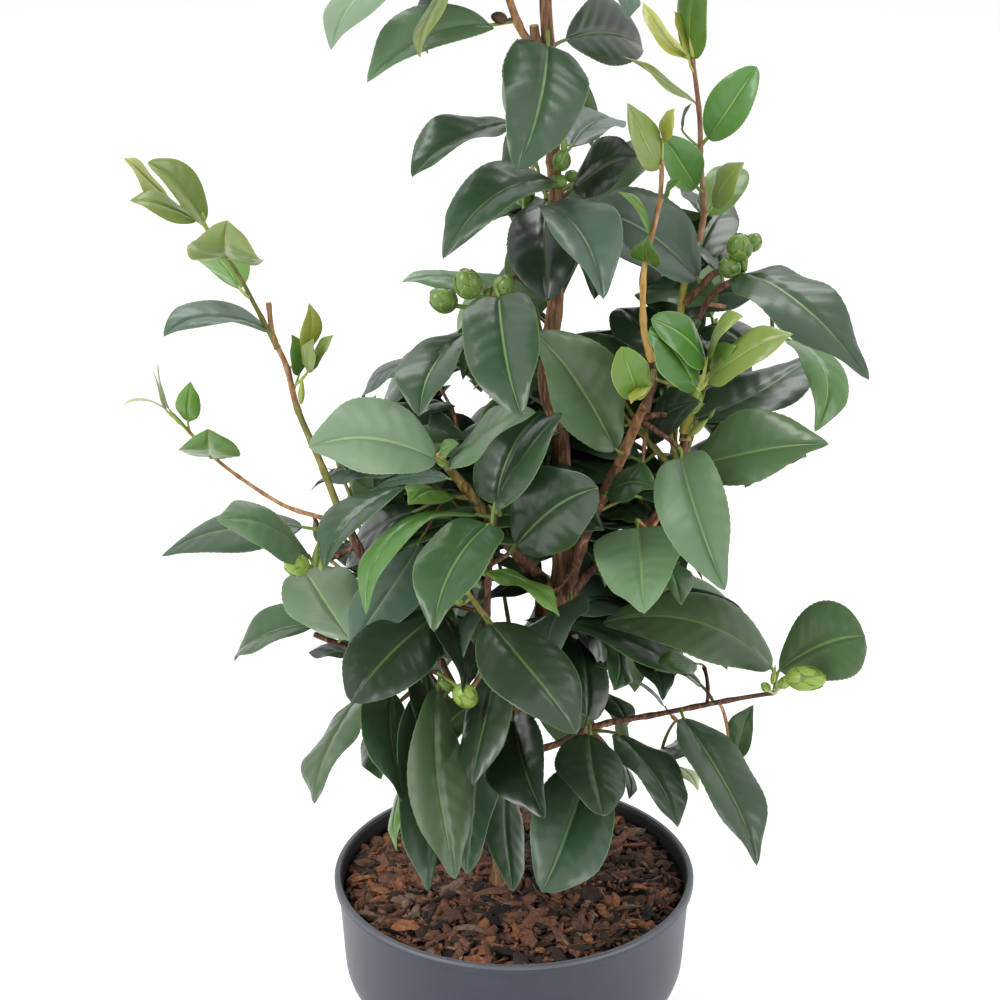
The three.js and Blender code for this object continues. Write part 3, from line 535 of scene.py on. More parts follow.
def leaf(builder, B, M, T, n, h, beta, fam, tone, rs, fine=True, peak=0.44, acum=0.30, curl=0.05, collect=None, full=0.70):
    """One leaf: a thin closed blade on a curved midrib, folded, with sunken rib, raised quilting between the veins and a finely toothed edge."""
    B, M, T, n = (np.asarray(v, float) for v in (B, M, T, n))
    L = np.linalg.norm(T - B)
    NU = (42 if L > 45 else 26 if L > 28 else 18) if fine else 18
    vv = V_FINE if fine else V_PLAIN
    u = np.linspace(0, 1, NU + 1)[:, None]
    Cc = 2 * M - (B + T) / 2
    c = (1 - u) ** 2 * B + 2 * u * (1 - u) * Cc + u * u * T
    t = unit(2 * (1 - u) * (Cc - B) + 2 * u * (T - Cc))
    nn = unit(n - t * (t @ n)[:, None])
    s = np.cross(t, nn)
    tw = math.radians(rs.uniform(-16, 16)) * (u - 0.45)
    s, nn = s * np.cos(tw) + nn * np.sin(tw), nn * np.cos(tw) - s * np.sin(tw)
    c = c - nn * curl * L * np.clip((u - 0.62) / 0.38, 0, 1) ** 2
    uu = u[:, 0]
    p = math.log(0.5) / math.log(peak)
    W = h * np.sin(np.pi * np.clip(uu, 0, 1) ** p) ** full * (1 - acum * smoothstep(0.70, 0.98, uu))
    W[0], W[-1] = 0.7, 0.12
    W = np.maximum(W, 0.12)
    W *= 1 + 0.035 * np.sin(uu * 7 + rs.uniform(0, 6))
    v = np.concatenate([-vv[:0:-1], vv])[None, :]
    av, sg = np.abs(v), np.sign(v)
    nv = max(5, int(L / 9.5))
    q = (uu[:, None] - 0.17 * av ** 1.3) * nv + rs.uniform(0, 1)
    fr = np.abs((q % 1.0) - 0.5) * 2            # 1 on a vein, 0 between
    body = smoothstep(0.02, 0.12, av) * (1 - smoothstep(0.80, 1.0, av)) * smoothstep(0.03, 0.15, uu)[:, None] * (1 - smoothstep(0.86, 0.99, uu))[:, None]
    zq = (1 - fr ** 2.2) * 0.55 * body * (L / 80)
    wav = rs.uniform(0.010, 0.032) * L * av ** 2.2 * np.sin(2 * math.pi * (rs.uniform(1.0, 2.1) * uu[:, None] + rs.uniform(0, 1)) + sg * rs.uniform(0.4, 1.6))
    wav = wav * smoothstep(0.0, 0.2, uu)[:, None] * (1 - smoothstep(0.85, 1.0, uu))[:, None]
    b = math.radians(beta) * np.ones_like(av)
    ww = W[:, None] * av
    tooth = np.where(av > 0.96, 1 + 0.009 * ((np.arange(NU + 1) % 2) * 2 - 1)[:, None], 1.0) if fine else 1.0
    lat = ww * np.cos(b) * tooth
    up = ww * np.sin(b) + zq + wav - 0.11 * W[:, None] * av ** 3 - 0.5 * (av < 0.05) * np.minimum(1, W / 6)[:, None]
    pos = c[:, None, :] + s[:, None, :] * (lat * sg)[..., None] + nn[:, None, :] * up[..., None]
    th = 0.42 * (1 - 0.7 * av ** 4) + 0.75 * (av < 0.05) * np.minimum(1, W / 5)[:, None] * (1 - 0.6 * uu[:, None])
    top = pos
    bot = pos - nn[:, None, :] * th[..., None]
    nr, ncol = pos.shape[:2]
    V = np.concatenate([top.reshape(-1, 3), bot.reshape(-1, 3)])
    off = nr * ncol
    i, j = np.meshgrid(np.arange(nr - 1), np.arange(ncol - 1), indexing="ij")
    a0 = i * ncol + j
    # top faces point along the leaf's normal
    qt = np.stack([a0, a0 + ncol, a0 + ncol + 1, a0 + 1], -1).reshape(-1, 4)
    qb = np.stack([a0 + off, a0 + off + 1, a0 + off + ncol + 1, a0 + off + ncol], -1).reshape(-1, 4)
    k = len(vv) - 1
    col = np.arange(ncol - 1)
    mid = (col == k - 1) | (col == k)
    # the outermost columns and the cut edge take the margin colour, lighter than the blade: partly the rim's own paler
    # green, yellowish on young leaves, and partly painted backlight through the thin edge
    edge = (col == 0) | (col == ncol - 2)
    mats = [builder.slot(m) for m in leaf_mats(fam, tone)]
    mt = np.where(mid, mats[1], np.where(edge, mats[2], mats[0]))
    mb = np.where(mid, mats[1], mats[3])
    ring = [[r * ncol, r * ncol + off, (r + 1) * ncol + off, (r + 1) * ncol] for r in range(nr - 1)]
    ring += [[(r + 1) * ncol + ncol - 1, (r + 1) * ncol + ncol - 1 + off, r * ncol + ncol - 1 + off, r * ncol + ncol - 1] for r in range(nr - 1)]
    ring += [[j_ + 1, j_ + 1 + off, j_ + off, j_] for j_ in range(ncol - 1)]
    e = (nr - 1) * ncol
    ring += [[e + j_, e + j_ + off, e + j_ + 1 + off, e + j_ + 1] for j_ in range(ncol - 1)]
    f = np.concatenate([qt, qb, np.array(ring)])
    mi = np.concatenate([np.tile(mt, nr - 1), np.tile(mb, nr - 1), np.full(len(ring), mats[2])])
    # faces wind outwards: flip everything if the top winds the other way
    d = np.cross(pos[nr // 2, k] - pos[nr // 2 - 1, k], pos[nr // 2, k + 2] - pos[nr // 2, k])
    if (d @ nn[nr // 2]) > 0:
        f = f[:, ::-1] if False else f
    else:
        f = f[:, ::-1]
    builder.add(V, f, mi)
    if collect is not None:
        collect.append(top.reshape(-1, 3))
    return t[0]


# each leaf: name, colour family, base, middle and tip of the midrib (mm), facing, half width, fold in degrees
LEAVES = [
    ("A", "s", (-50, -12, 649), (-70, -42, 642), (-86, -69, 624), (-0.33, -0.19, 0.93), 17.9, 4),
    ("B", "s2", (-12, -6, 614), (-40, -30, 617), (-69, -56, 605), (0.07, -0.26, 0.96), 18.8, 22),
    ("C", "y2", (-27, -18, 646), (-39, -44, 631), (-46, -66, 619), (-0.7, -0.11, 0.7), 9.5, 3),
    ("D", "m", (15, -14, 607), (11, -53, 591), (2, -87, 573), (0.35, -0.44, 0.82), 20.7, 12),
    ("H", "d", (24, 10, 602), (45, 38, 597), (66, 65, 582), (0.79, -0.43, 0.44), 18.4, 21),
    ("H2", "g", (41, 18, 643), (49, -7, 637), (53, -31, 626), (0.67, -0.09, 0.74), 12.9, 0),
    ("E", "m", (-2, -6, 566), (-27, -33, 567), (-49, -60, 561), (-0.05, -0.06, 1.0), 17.9, 21),
    ("F", "m", (18, -10, 538), (-9, -33, 540), (-35, -61, 520), (-0.08, -0.24, 0.97), 18.8, 17),
    ("G", "x", (15, 20, 519), (14, -12, 509), (15, -40, 490), (-0.21, -0.44, 0.88), 19.3, 11),
    ("I", "g", (27, 14, 547), (38, 43, 550), (56, 69, 543), (0.1, 0.01, 0.99), 15.5, 12),
    ("J", "x", (28, 12, 527), (42, -8, 546), (55, -28, 557), (-0.87, -0.39, 0.29), 14.1, 4),
    ("K", "g", (15, -10, 525), (31, -44, 524), (41, -79, 507), (0.06, -0.24, 0.97), 19.8, 31),
    ("La", "g", (90, 14, 479), (61, -1, 511), (32, -17, 525), (0.64, -0.69, 0.34), 20.4, 24),
    ("Lb", "d", (87, 30, 475), (97, 53, 490), (110, 79, 498), (-0.33, -0.28, 0.9), 14.6, -3),
    ("Lc", "s2", (100, 24, 463), (78, 45, 462), (60, 66, 452), (-0.32, -0.07, 0.94), 14.6, 7),
    ("M2", "d", (74, 14, 437), (62, 38, 446), (52, 63, 447), (-0.11, -0.25, 0.96), 13.6, 0),
    ("s1a", "y", (82, 20, 590), (71, 29, 599), (63, 41, 612), (0.6, -0.25, 0.76), 8.9, 2),
    ("s1b", "y", (83, 18, 591), (81, 21, 602), (77, 25, 612), (0.83, -0.43, 0.36), 5.6, 3),
    ("s1c", "l", (85, 20, 589), (83, 19, 613), (88, 21, 637), (-0.82, -0.57, 0.07), 11.8, -1),
    ("s1d", "o", (86, 18, 569), (71, 14, 581), (53, 12, 595), (0.62, -0.13, 0.78), 5.5, 5),
    ("s1e", "l4", (93, 16, 551), (103, 8, 570), (114, 6, 590), (-0.56, -0.83, 0.08), 11.5, 19),
    ("s1f", "l4", (88, 10, 528), (79, -1, 545), (71, -10, 560), (0.62, -0.77, -0.14), 10.6, 20),
    ("s1g", "l", (94, 24, 509), (104, 40, 519), (113, 59, 523), (0.17, -0.45, 0.88), 10.9, 12),
    ("s1h", "o", (96, 14, 517), (100, 3, 532), (108, -5, 546), (-0.9, -0.43, 0.09), 8.9, -2),
    ("s1i", "d", (90, 20, 512), (88, 34, 515), (85, 48, 514), (0.44, -0.0, 0.9), 7.0, 2),
    ("s1j", "g", (81, 24, 552), (81, 21, 560), (84, 18, 568), (-0.97, -0.23, 0.08), 2.2, -3),
    ("s2a", "o2", (69, -12, 546), (61, -21, 563), (54, -26, 582), (0.81, -0.58, 0.09), 10.3, 7),
    ("s2b", "y", (70, -10, 558), (71, -15, 568), (74, -18, 577), (-0.87, -0.48, -0.02), 5.2, 0),
    ("s2c", "l", (65, -16, 513), (60, -22, 528), (50, -28, 540), (0.9, -0.22, 0.38), 5.5, 3),
    ("s2d", "l2", (63, -22, 501), (62, -34, 509), (62, -42, 521), (-0.34, -0.65, -0.68), 7.6, 14),
    ("s2e", "l", (71, -8, 529), (73, -15, 537), (77, -23, 543), (-0.94, -0.07, 0.32), 4.4, 0),
    ("L1", "m", (111, 2, 486), (134, -25, 484), (170, -56, 457), (0.15, -0.32, 0.94), 21.6, 5),
    ("L2", "g", (120, 14, 472), (100, 34, 463), (86, 55, 447), (-0.63, -0.04, 0.78), 14.6, 1),
    ("L2b", "d", (102, 22, 479), (100, 43, 483), (97, 63, 481), (0.3, 0.01, 0.95), 10.3, 0),
    ("L2c", "x", (116, 20, 441), (106, 43, 441), (96, 65, 435), (-0.2, 0.04, 0.98), 12.2, 0),
    ("L3", "l3", (134, 4, 451), (151, -22, 444), (146, -49, 425), (0.56, -0.25, 0.79), 15.0, 7),
    ("L4", "d", (89, -14, 416), (124, 4, 425), (152, 30, 437), (-0.22, -0.15, 0.96), 19.7, 4),
    ("L8", "o", (92, -46, 450), (109, -56, 469), (129, -64, 483), (-0.71, -0.27, 0.65), 13.2, 4),
    ("L9", "o", (92, -42, 459), (97, -45, 477), (107, -51, 486), (-0.88, -0.12, 0.46), 7.7, -2),
    ("L9b", "l", (95, -36, 453), (98, -44, 462), (104, -51, 470), (-0.9, -0.42, 0.14), 6.1, 4),
    ("L5", "k", (88, -28, 397), (118, -52, 416), (147, -71, 429), (-0.67, -0.49, 0.56), 20.3, 25),
    ("L6", "s2", (80, -52, 412), (86, -90, 399), (97, -123, 377), (-0.34, -0.48, 0.81), 20.2, 30),
    ("L7a", "l6", (87, -50, 447), (76, -60, 470), (64, -69, 484), (0.76, -0.63, 0.15), 11.8, -6),
    ("L7b", "l6", (91, -42, 459), (81, -56, 476), (65, -66, 490), (0.83, -0.42, 0.37), 11.8, 3),
    ("L10", "d", (66, -6, 407), (73, -26, 424), (87, -45, 439), (-0.92, -0.22, 0.32), 13.6, 3),
    ("R1", "r", (59, -58, 445), (55, -66, 460), (50, -69, 476), (0.33, -0.92, -0.22), 9.5, 9),
    ("R1b", "y", (62, -56, 452), (58, -65, 453), (54, -73, 450), (-0.17, -0.04, 0.98), 4.7, 0),
    ("R2", "m2", (45, -30, 383), (55, -47, 397), (66, -65, 403), (-0.79, -0.13, 0.6), 11.3, 2),
    ("R2b", "d", (63, -16, 361), (53, 4, 360), (44, 22, 352), (-0.16, 0.15, 0.98), 10.8, 0),
    ("R2c", "d", (48, -10, 381), (60, 12, 377), (70, 31, 366), (0.23, 0.23, 0.95), 12.2, 5),
    ("P14", "s2", (60, -46, 372), (60, -88, 371), (59, -126, 369), (-0.2, -0.03, 0.98), 22.0, 8),
    ("P14b", "m2", (64, -30, 355), (74, -57, 357), (81, -84, 351), (0.42, 0.07, 0.91), 14.1, 4),
    ("P14c", "g", (93, 10, 341), (86, -13, 341), (85, -37, 337), (-0.83, 0.1, 0.54), 4.6, 3),
    ("M1", "k", (49, -36, 409), (32, -51, 447), (12, -61, 480), (0.6, -0.8, 0.03), 21.1, 22),
    ("M3", "d", (0, -52, 365), (19, -74, 396), (36, -95, 414), (-0.75, -0.66, -0.05), 20.1, 9),
    ("M4", "m", (-10, -58, 390), (3, -69, 420), (19, -79, 448), (-0.9, -0.15, 0.41), 16.9, -4),
    ("M4b", "m", (-9, -42, 383), (-3, -10, 395), (13, 27, 406), (-0.37, -0.18, 0.91), 18.8, 14),
    ("M4c", "x", (-17, -22, 371), (-20, 7, 379), (-28, 35, 380), (0.61, 0.0, 0.79), 14.6, 0),
    ("M5", "s2", (-34, -46, 405), (-14, -62, 430), (7, -77, 449), (-0.74, -0.03, 0.67), 16.9, 5),
    ("M7", "m", (-24, -18, 463), (-39, -51, 460), (-46, -83, 450), (-0.28, -0.1, 0.96), 17.4, 22),
    ("M8", "m", (-8, -32, 488), (-5, -74, 475), (1, -108, 461), (-0.27, -0.35, 0.9), 20.2, 20),
    ("M9", "s2", (15, 14, 467), (-22, -1, 484), (-54, -16, 493), (0.36, -0.0, 0.93), 14.6, 3),
    ("M12a", "d", (51, -8, 381), (29, 15, 380), (9, 38, 370), (-0.26, -0.0, 0.96), 15.5, 0),
    ("M12b", "g", (59, 4, 387), (41, 28, 386), (24, 51, 376), (-0.11, 0.14, 0.98), 14.0, 0),
    ("M12c", "x", (23, 0, 354), (23, 28, 359), (17, 57, 358), (0.6, 0.01, 0.8), 14.1, 0),
    ("M13", "x", (-34, 0, 418), (-40, -17, 426), (-47, -34, 428), (0.2, 0.22, 0.96), 9.4, 2),
    ("M13b", "g2", (-28, 0, 403), (-32, -17, 415), (-41, -35, 422), (0.74, 0.11, 0.67), 10.3, 2),
    ("M13c", "l", (-37, -40, 409), (-34, -47, 415), (-28, -54, 421), (-0.91, -0.23, 0.35), 5.2, -4),
    ("M6", "s", (-38, -62, 416), (-68, -81, 435), (-95, -100, 439), (0.6, -0.57, 0.56), 20.3, 20),
    ("M10", "g2", (-52, 20, 432), (-69, 37, 418), (-80, 53, 398), (-0.79, -0.05, 0.61), 8.1, 0),
    ("M6b", "g2", (-57, 4, 380), (-83, 20, 374), (-106, 35, 358), (-0.39, 0.03, 0.92), 11.7, 0),
    ("M6c", "g", (-33, -26, 389), (-58, -6, 380), (-78, 11, 361), (-0.49, 0.07, 0.87), 8.0, 2),
    ("M6d", "l", (-35, -18, 378), (-42, -37, 388), (-51, -58, 392), (0.33, 0.19, 0.92), 11.3, 0),
    ("N1", "m2", (-13, -72, 386), (-30, -107, 380), (-39, -140, 365), (-0.11, -0.26, 0.96), 18.8, 16),
    ("N2", "l4", (-18, -40, 376), (-57, -67, 380), (-74, -104, 355), (-0.44, 0.08, 0.9), 14.4, 4),
    ("N3", "x", (-50, -8, 363), (-74, 8, 343), (-90, 24, 317), (-0.79, -0.11, 0.6), 16.9, 0),
    ("N4", "g2", (-48, -14, 348), (-64, -48, 335), (-81, -75, 322), (-0.24, -0.26, 0.93), 18.3, 0),
    ("N5", "m", (-52, -22, 383), (-77, -49, 381), (-94, -79, 367), (-0.39, 0.02, 0.92), 17.9, 15),
    ("N11", "d", (-37, -50, 328), (-60, -86, 324), (-78, -117, 314), (0.2, -0.32, 0.93), 19.7, 0),
    ("N6", "s2", (-103, -14, 341), (-122, -33, 367), (-143, -53, 381), (0.76, -0.11, 0.64), 16.9, -4),
    ("N7", "m", (-108, 14, 344), (-146, 18, 341), (-183, 22, 327), (-0.23, -0.11, 0.97), 19.3, -1),
    ("N8", "s", (-82, -40, 307), (-96, -10, 314), (-110, 25, 319), (-0.23, -0.28, 0.93), 19.8, 9),
    ("N9", "m2", (-100, -6, 299), (-126, 10, 286), (-149, 26, 263), (-0.64, -0.13, 0.76), 16.9, 20),
    ("N10", "g", (-83, 2, 276), (-96, 19, 273), (-106, 35, 264), (-0.27, 0.15, 0.95), 10.3, 0),
    ("N12", "k", (-78, -34, 273), (-92, -67, 263), (-101, -97, 248), (-0.67, -0.06, 0.74), 17.9, 3),
    ("N13", "m2", (-64, -24, 257), (-69, -51, 256), (-68, -77, 250), (-0.63, -0.05, 0.78), 13.2, 1),
    ("N14", "m", (-61, -52, 285), (-60, -89, 277), (-52, -122, 264), (0.64, -0.14, 0.76), 18.3, -1),
    ("N15", "l", (-51, -46, 239), (-59, -70, 231), (-61, -93, 218), (-0.83, -0.07, 0.55), 8.1, -4),
    ("Nx1", "x", (-40, -18, 312), (-61, 2, 295), (-74, 25, 274), (-0.82, -0.19, 0.54), 16.4, 3),
    ("Nx2", "d", (-47, -40, 294), (-42, -70, 291), (-44, -100, 282), (0.78, -0.07, 0.62), 15.0, 0),
    ("H1", "k", (-38, -80, 301), (-37, -113, 265), (-26, -139, 230), (0.78, -0.42, 0.47), 23.0, 8),
    ("Hb", "m3", (-47, -66, 293), (-45, -95, 249), (-38, -117, 209), (0.89, -0.35, 0.3), 23.0, 0),
    ("Hc", "m3", (-23, -58, 276), (-21, -85, 245), (-27, -107, 213), (-0.81, -0.44, 0.39), 19.7, 2),
    ("Q1", "d", (-9, -58, 308), (-15, -94, 291), (-23, -125, 275), (-0.68, -0.21, 0.7), 18.8, 0),
    ("Q2", "x", (-37, -44, 325), (-27, -71, 320), (-23, -97, 309), (0.68, -0.03, 0.73), 14.1, 2),
    ("Q3", "g2", (-18, -30, 322), (-26, -56, 322), (-29, -82, 315), (-0.67, 0.04, 0.74), 13.2, 2),
    ("P1", "d", (-12, -82, 338), (8, -120, 331), (29, -152, 318), (-0.02, -0.29, 0.96), 20.7, 0),
    ("P2", "d", (37, -30, 257), (37, 4, 269), (31, 38, 273), (0.66, -0.12, 0.74), 17.4, 0),
    ("P15", "g3", (26, 0, 303), (47, 24, 299), (67, 46, 283), (0.49, -0.05, 0.87), 16.0, 13),
    ("P16", "l", (-18, -60, 355), (4, -79, 359), (22, -100, 353), (0.15, 0.1, 0.98), 8.9, 0),
    ("P16b", "x", (15, -20, 327), (-2, -1, 319), (-23, 15, 299), (-0.54, 0.09, 0.83), 10.5, 0),
    ("P13", "m4", (96, -16, 268), (58, -7, 290), (6, 2, 302), (0.37, 0.11, 0.92), 23.0, 8),
    ("P17", "d", (63, 8, 282), (71, -16, 281), (76, -39, 274), (0.47, -0.03, 0.88), 12.2, 0),
    ("P17b", "m2", (50, 14, 283), (54, -11, 282), (52, -35, 277), (0.77, -0.04, 0.63), 12.2, -3),
    ("P17c", "l4", (93, -8, 277), (83, -19, 284), (71, -30, 286), (0.49, -0.14, 0.86), 8.0, 0),
    ("P17d", "g", (80, 26, 233), (65, 15, 254), (43, 6, 271), (0.72, -0.04, 0.7), 2.4, 0),
    ("P19", "d", (58, -10, 244), (52, 9, 247), (43, 27, 244), (0.35, 0.13, 0.93), 9.9, 0),
    ("Px1", "g", (28, -14, 316), (19, -46, 321), (15, -79, 316), (-0.47, 0.09, 0.88), 16.4, 0),
    ("Px2", "x", (31, 4, 293), (44, 24, 277), (49, 45, 258), (0.94, -0.15, 0.29), 14.1, 0),
    ("P8", "d", (52, -48, 258), (68, -79, 254), (81, -110, 243), (0.39, -0.04, 0.92), 17.4, 12),
    ("P9", "d", (37, -64, 267), (38, -101, 266), (43, -134, 264), (0.22, -0.02, 0.98), 17.4, -2),
    ("P10", "m3", (37, -72, 252), (26, -114, 242), (15, -149, 229), (0.47, -0.37, 0.8), 23.4, 17),
    ("P11", "m3", (-4, -62, 238), (-4, -92, 224), (1, -117, 210), (0.72, -0.25, 0.64), 15.5, 0),
    ("P12", "x", (-1, -66, 276), (4, -105, 272), (12, -140, 265), (-0.66, -0.22, 0.72), 20.4, 29),
    ("P18", "d", (101, 14, 216), (89, 35, 208), (81, 56, 193), (-0.56, 0.17, 0.81), 12.7, 6),
    ("P18b", "w", (82, 40, 191), (90, 22, 198), (97, 2, 199), (0.19, 0.28, 0.94), 7.3, 0),
    ("P18c", "d", (53, -20, 229), (58, -39, 230), (59, -57, 227), (0.72, 0.07, 0.69), 7.0, 0),
    ("P4", "k", (130, -28, 285), (93, -20, 307), (43, -14, 306), (0.18, -0.33, 0.93), 22.1, 2),
    ("P5", "k", (133, -34, 287), (152, -56, 313), (170, -77, 328), (-0.76, -0.65, 0.01), 19.8, 0),
    ("P6", "m", (85, -40, 263), (105, -74, 244), (122, -104, 217), (0.53, -0.28, 0.8), 21.6, 14),
    ("P7", "m2", (114, -24, 232), (115, -29, 248), (120, -31, 265), (-0.67, -0.74, -0.05), 8.5, 14),
    ("s3a", "o", (-151, 6, 511), (-161, -2, 532), (-174, -10, 548), (0.83, -0.45, 0.34), 11.3, 24),
    ("s3b", "y", (-168, 8, 523), (-178, -1, 537), (-185, -9, 550), (0.88, -0.14, 0.46), 8.9, 0),
    ("s3c", "o3", (-155, 2, 514), (-169, -8, 525), (-183, -17, 532), (0.63, -0.16, 0.76), 9.4, 4),
    ("s3d", "o", (-140, 6, 493), (-139, -19, 506), (-137, -38, 526), (-0.12, -0.6, -0.79), 19.2, 14),
    ("s3e", "l", (-136, 18, 472), (-147, 38, 480), (-164, 60, 483), (-0.07, -0.3, 0.95), 13.0, 27),
    ("s3f", "g4", (-121, 16, 450), (-149, 1, 464), (-171, -18, 464), (0.22, 0.04, 0.97), 15.5, 18),
    ("s3g", "l", (-108, 20, 425), (-107, 16, 437), (-110, 15, 449), (0.76, -0.65, -0.08), 6.1, 0),
    ("s3h", "y", (-104, 18, 438), (-101, 16, 451), (-101, 16, 465), (0.65, -0.75, -0.13), 6.6, 7),
    ("s3i", "o", (-103, 16, 429), (-98, 14, 440), (-91, 13, 450), (-0.84, -0.34, 0.42), 6.1, 0),
    ("s3j", "o", (-103, 12, 430), (-103, 7, 440), (-100, 4, 451), (-0.75, -0.65, -0.13), 5.6, 0),
    ("s4a", "l5", (-154, 22, 379), (-153, 5, 391), (-152, -8, 406), (-0.04, -0.67, -0.74), 15.5, 10),
    ("s4b", "l", (-165, 24, 398), (-164, 18, 410), (-162, 15, 423), (-0.12, -0.93, -0.34), 6.6, 0),
    ("s4c", "w2", (-173, 24, 402), (-185, 20, 412), (-196, 12, 413), (0.42, 0.01, 0.91), 1.4, 0),
    ("s4d", "w2", (-175, 24, 403), (-178, 23, 414), (-180, 23, 426), (0.95, -0.25, 0.2), 1.8, 0),
    ("s4e", "w2", (-173, 24, 403), (-178, 26, 416), (-178, 29, 428), (0.93, -0.27, 0.24), 1.4, 0),
]
SHAPE = {"P14": dict(peak=0.30, full=0.6), "N8": dict(peak=0.60, acum=0.1, full=0.6), "M8": dict(peak=0.34, full=0.52, acum=0.2), "P5": dict(peak=0.56, acum=0.0, full=0.50, curl=0.0), "N2": dict(peak=0.45), "M6": dict(peak=0.46, acum=0.15, full=0.62),
         "G": dict(peak=0.5, acum=0.1, full=0.6), "N11": dict(peak=0.5, curl=0.02, full=0.58, acum=0.15), "s3d": dict(peak=0.5, acum=0.1), "s4a": dict(peak=0.5, acum=0.1), "P12": dict(peak=0.4, full=0.62), "M1": dict(peak=0.52, acum=0.08, full=0.60),
         "M3": dict(peak=0.46, acum=0.04, full=0.52), "M4": dict(full=0.62), "M4b": dict(full=0.62, peak=0.5), "M7": dict(peak=0.5, full=0.6), "L6": dict(peak=0.42, full=0.6), "N1": dict(peak=0.36, full=0.62), "D": dict(peak=0.35, full=0.52, acum=0.2),
         "P1": dict(full=0.58, acum=0.2), "P9": dict(full=0.58, acum=0.1), "P10": dict(full=0.54, peak=0.5, acum=0.15), "P11": dict(full=0.6), "P4": dict(full=0.62), "R1": dict(peak=0.5, acum=0.02, full=0.55), "L7a": dict(full=0.52, acum=0.05), "L7b": dict(full=0.55, acum=0.08),
         "K": dict(full=0.6), "L1": dict(full=0.64), "H1": dict(full=0.6, peak=0.48), "Hb": dict(full=0.6, peak=0.5), "Hc": dict(full=0.6, peak=0.5), "Q1": dict(full=0.62), "s1e": dict(full=0.52, acum=0.02, peak=0.5), "s1f": dict(full=0.56, acum=0.05), "s1g": dict(full=0.56, acum=0.1), "s1c": dict(full=0.56, acum=0.1), "s3a": dict(full=0.56, acum=0.1)}
YOUNG = ("l6", "r", "l", "y", "o", "w", "l2", "l5", "o2", "o3", "y2", "w2")
hero_tops = []
front_up, front_mid, front_low, young = Builder("foliage_front_upper"), Builder("foliage_front_middle"), Builder("foliage_front_low"), Builder("foliage_young")
bases = []
for k, (name, fam, B, M, T, n, h, beta) in enumerate(LEAVES):
    rs = np.random.RandomState(1000 + k)
    tgt = young if fam in YOUNG else (front_up if B[2] > 415 else front_mid if B[2] > 300 else front_low)
    tone = int(rs.choice(3, p=[0.3, 0.45, 0.25]))
    t0 = leaf(tgt, B, M, T, n, h, beta, fam, tone, rs, fine=True, collect=hero_tops, **SHAPE.get(name, {}))
    bases.append((np.array(B, float), t0, fam, h, name))

# ------------------------------------------------------------------ twigs that carry the leaves
twigs = Builder("twigs")
petioles = Builder("leaf_stalks")
pet_green = base_material("stalk_green", lin(120, 146, 66), 0.42)
pet_yellow = base_material("stalk_yellow_green", lin(168, 180, 88), 0.42)
pet_dark = base_material("stalk_olive", lin(92, 112, 52), 0.45)
tw_red = twigs.slot(bark_red)
tw_olive = twigs.slot(stem_olive)
tw_tan = twigs.slot(stem_tan)


def hermite(p0, t0, p1, t1, n=14):
    u = np.linspace(0, 1, n)[:, None]
    return (2 * u ** 3 - 3 * u ** 2 + 1) * p0 + (u ** 3 - 2 * u ** 2 + u) * t0 + (-2 * u ** 3 + 3 * u ** 2) * p1 + (u ** 3 - u ** 2) * t1


def twig(p0, t0, p1, t1, r0, r1, slot, seed=0, n=14, record=True):
    d = np.linalg.norm(p1 - p0)
    C = hermite(p0, unit(t0) * d * 0.55, p1, unit(t1) * d * 0.55, n)
    S = np.concatenate([[0], np.cumsum(np.linalg.norm(np.diff(C, axis=0), axis=1))])
    R = taper(S, r0, r1)
    tube(twigs, C, S, R, slot, sides=8, nodes=[S[-1] * 0.5, S[-1] * 0.96], seed=seed)
    if record:
        grow(C[2:], S, R[2:])


# named twigs that show
for pts, r0, r1, sl in [([(17, 0, 600), (6, -4, 606), (-2, -2, 622), (-6, 0, 640)], 2.2, 1.8, tw_tan), ([(-60, -10, 298), (-78, -16, 290), (-92, -20, 296), (-101, -22, 301)], 1.7, 1.5, tw_red),
                        ([(-14, -46, 312), (-12, -72, 332), (-19, -76, 345), (-26, -78, 357)], 1.8, 1.3, tw_olive), ([(84, 14, 466), (92, 12, 476), (99, 10, 484), (112, 4, 487)], 2.0, 1.6, tw_red)]:
    C, S = spline(pts, 1.6)
    R = taper(S, r0, r1)
    tube(twigs, C, S, R, sl, sides=10, relief=0.05, nodes=[S[-1] * 0.45], seed=r0)
    grow(C, S, R)

todo = list(range(len(bases)))
NP = np.array(net_p)
while todo:
    A = np.array([bases[i][0] - unit(bases[i][1]) * 8.0 for i in todo])
    NP = np.array(net_p)
    D = np.linalg.norm(A[:, None, :] - NP[None, :, :], axis=2)
    k = int(np.argmin(D.min(axis=1)))
    j = int(np.argmin(D[k]))
    B, t, fam, h, name = bases[todo.pop(k)]
    Aim, Q, Qt, Qr = A[k], NP[j], np.array(net_t[j]), net_r[j]
    dist = D[k, j]
    is_young = fam in YOUNG
    sl = petioles.slot(pet_yellow if is_young else (pet_dark if fam in ("x", "d") else pet_green))
    rp = 0.62 if h < 9 else 0.95
    if dist > 13:
        tdir = unit(Aim - Q) + 0.5 * Qt
        twig(Q, tdir, Aim, 0.6 * unit(t) + 0.9 * unit(Aim - Q), min(1.5, Qr * 0.7), 1.05, tw_olive if is_young else (tw_red if k % 3 else tw_tan), seed=j % 17)
        P0, T0 = Aim, unit(Aim - Q)
    else:
        P0, T0 = Q, unit(Aim - Q + 1e-3) + 0.3 * Qt
    d = np.linalg.norm(B - P0)
    C = hermite(P0, unit(T0) * d, B + unit(t) * 1.5, unit(t) * d * 0.8, 9)
    S = np.concatenate([[0], np.cumsum(np.linalg.norm(np.diff(C, axis=0), axis=1))])
    tube(petioles, C, S, taper(S, rp * 1.15, rp * 0.85), sl, sides=7, tip=0.3)

# ------------------------------------------------------------------ where leaves may show from the front: the crown's own outline, kept open at its gaps
CELL = 4
OX, OY = 100, -460
GW, GH = 210, 370
mask = np.zeros((GH, GW), bool)


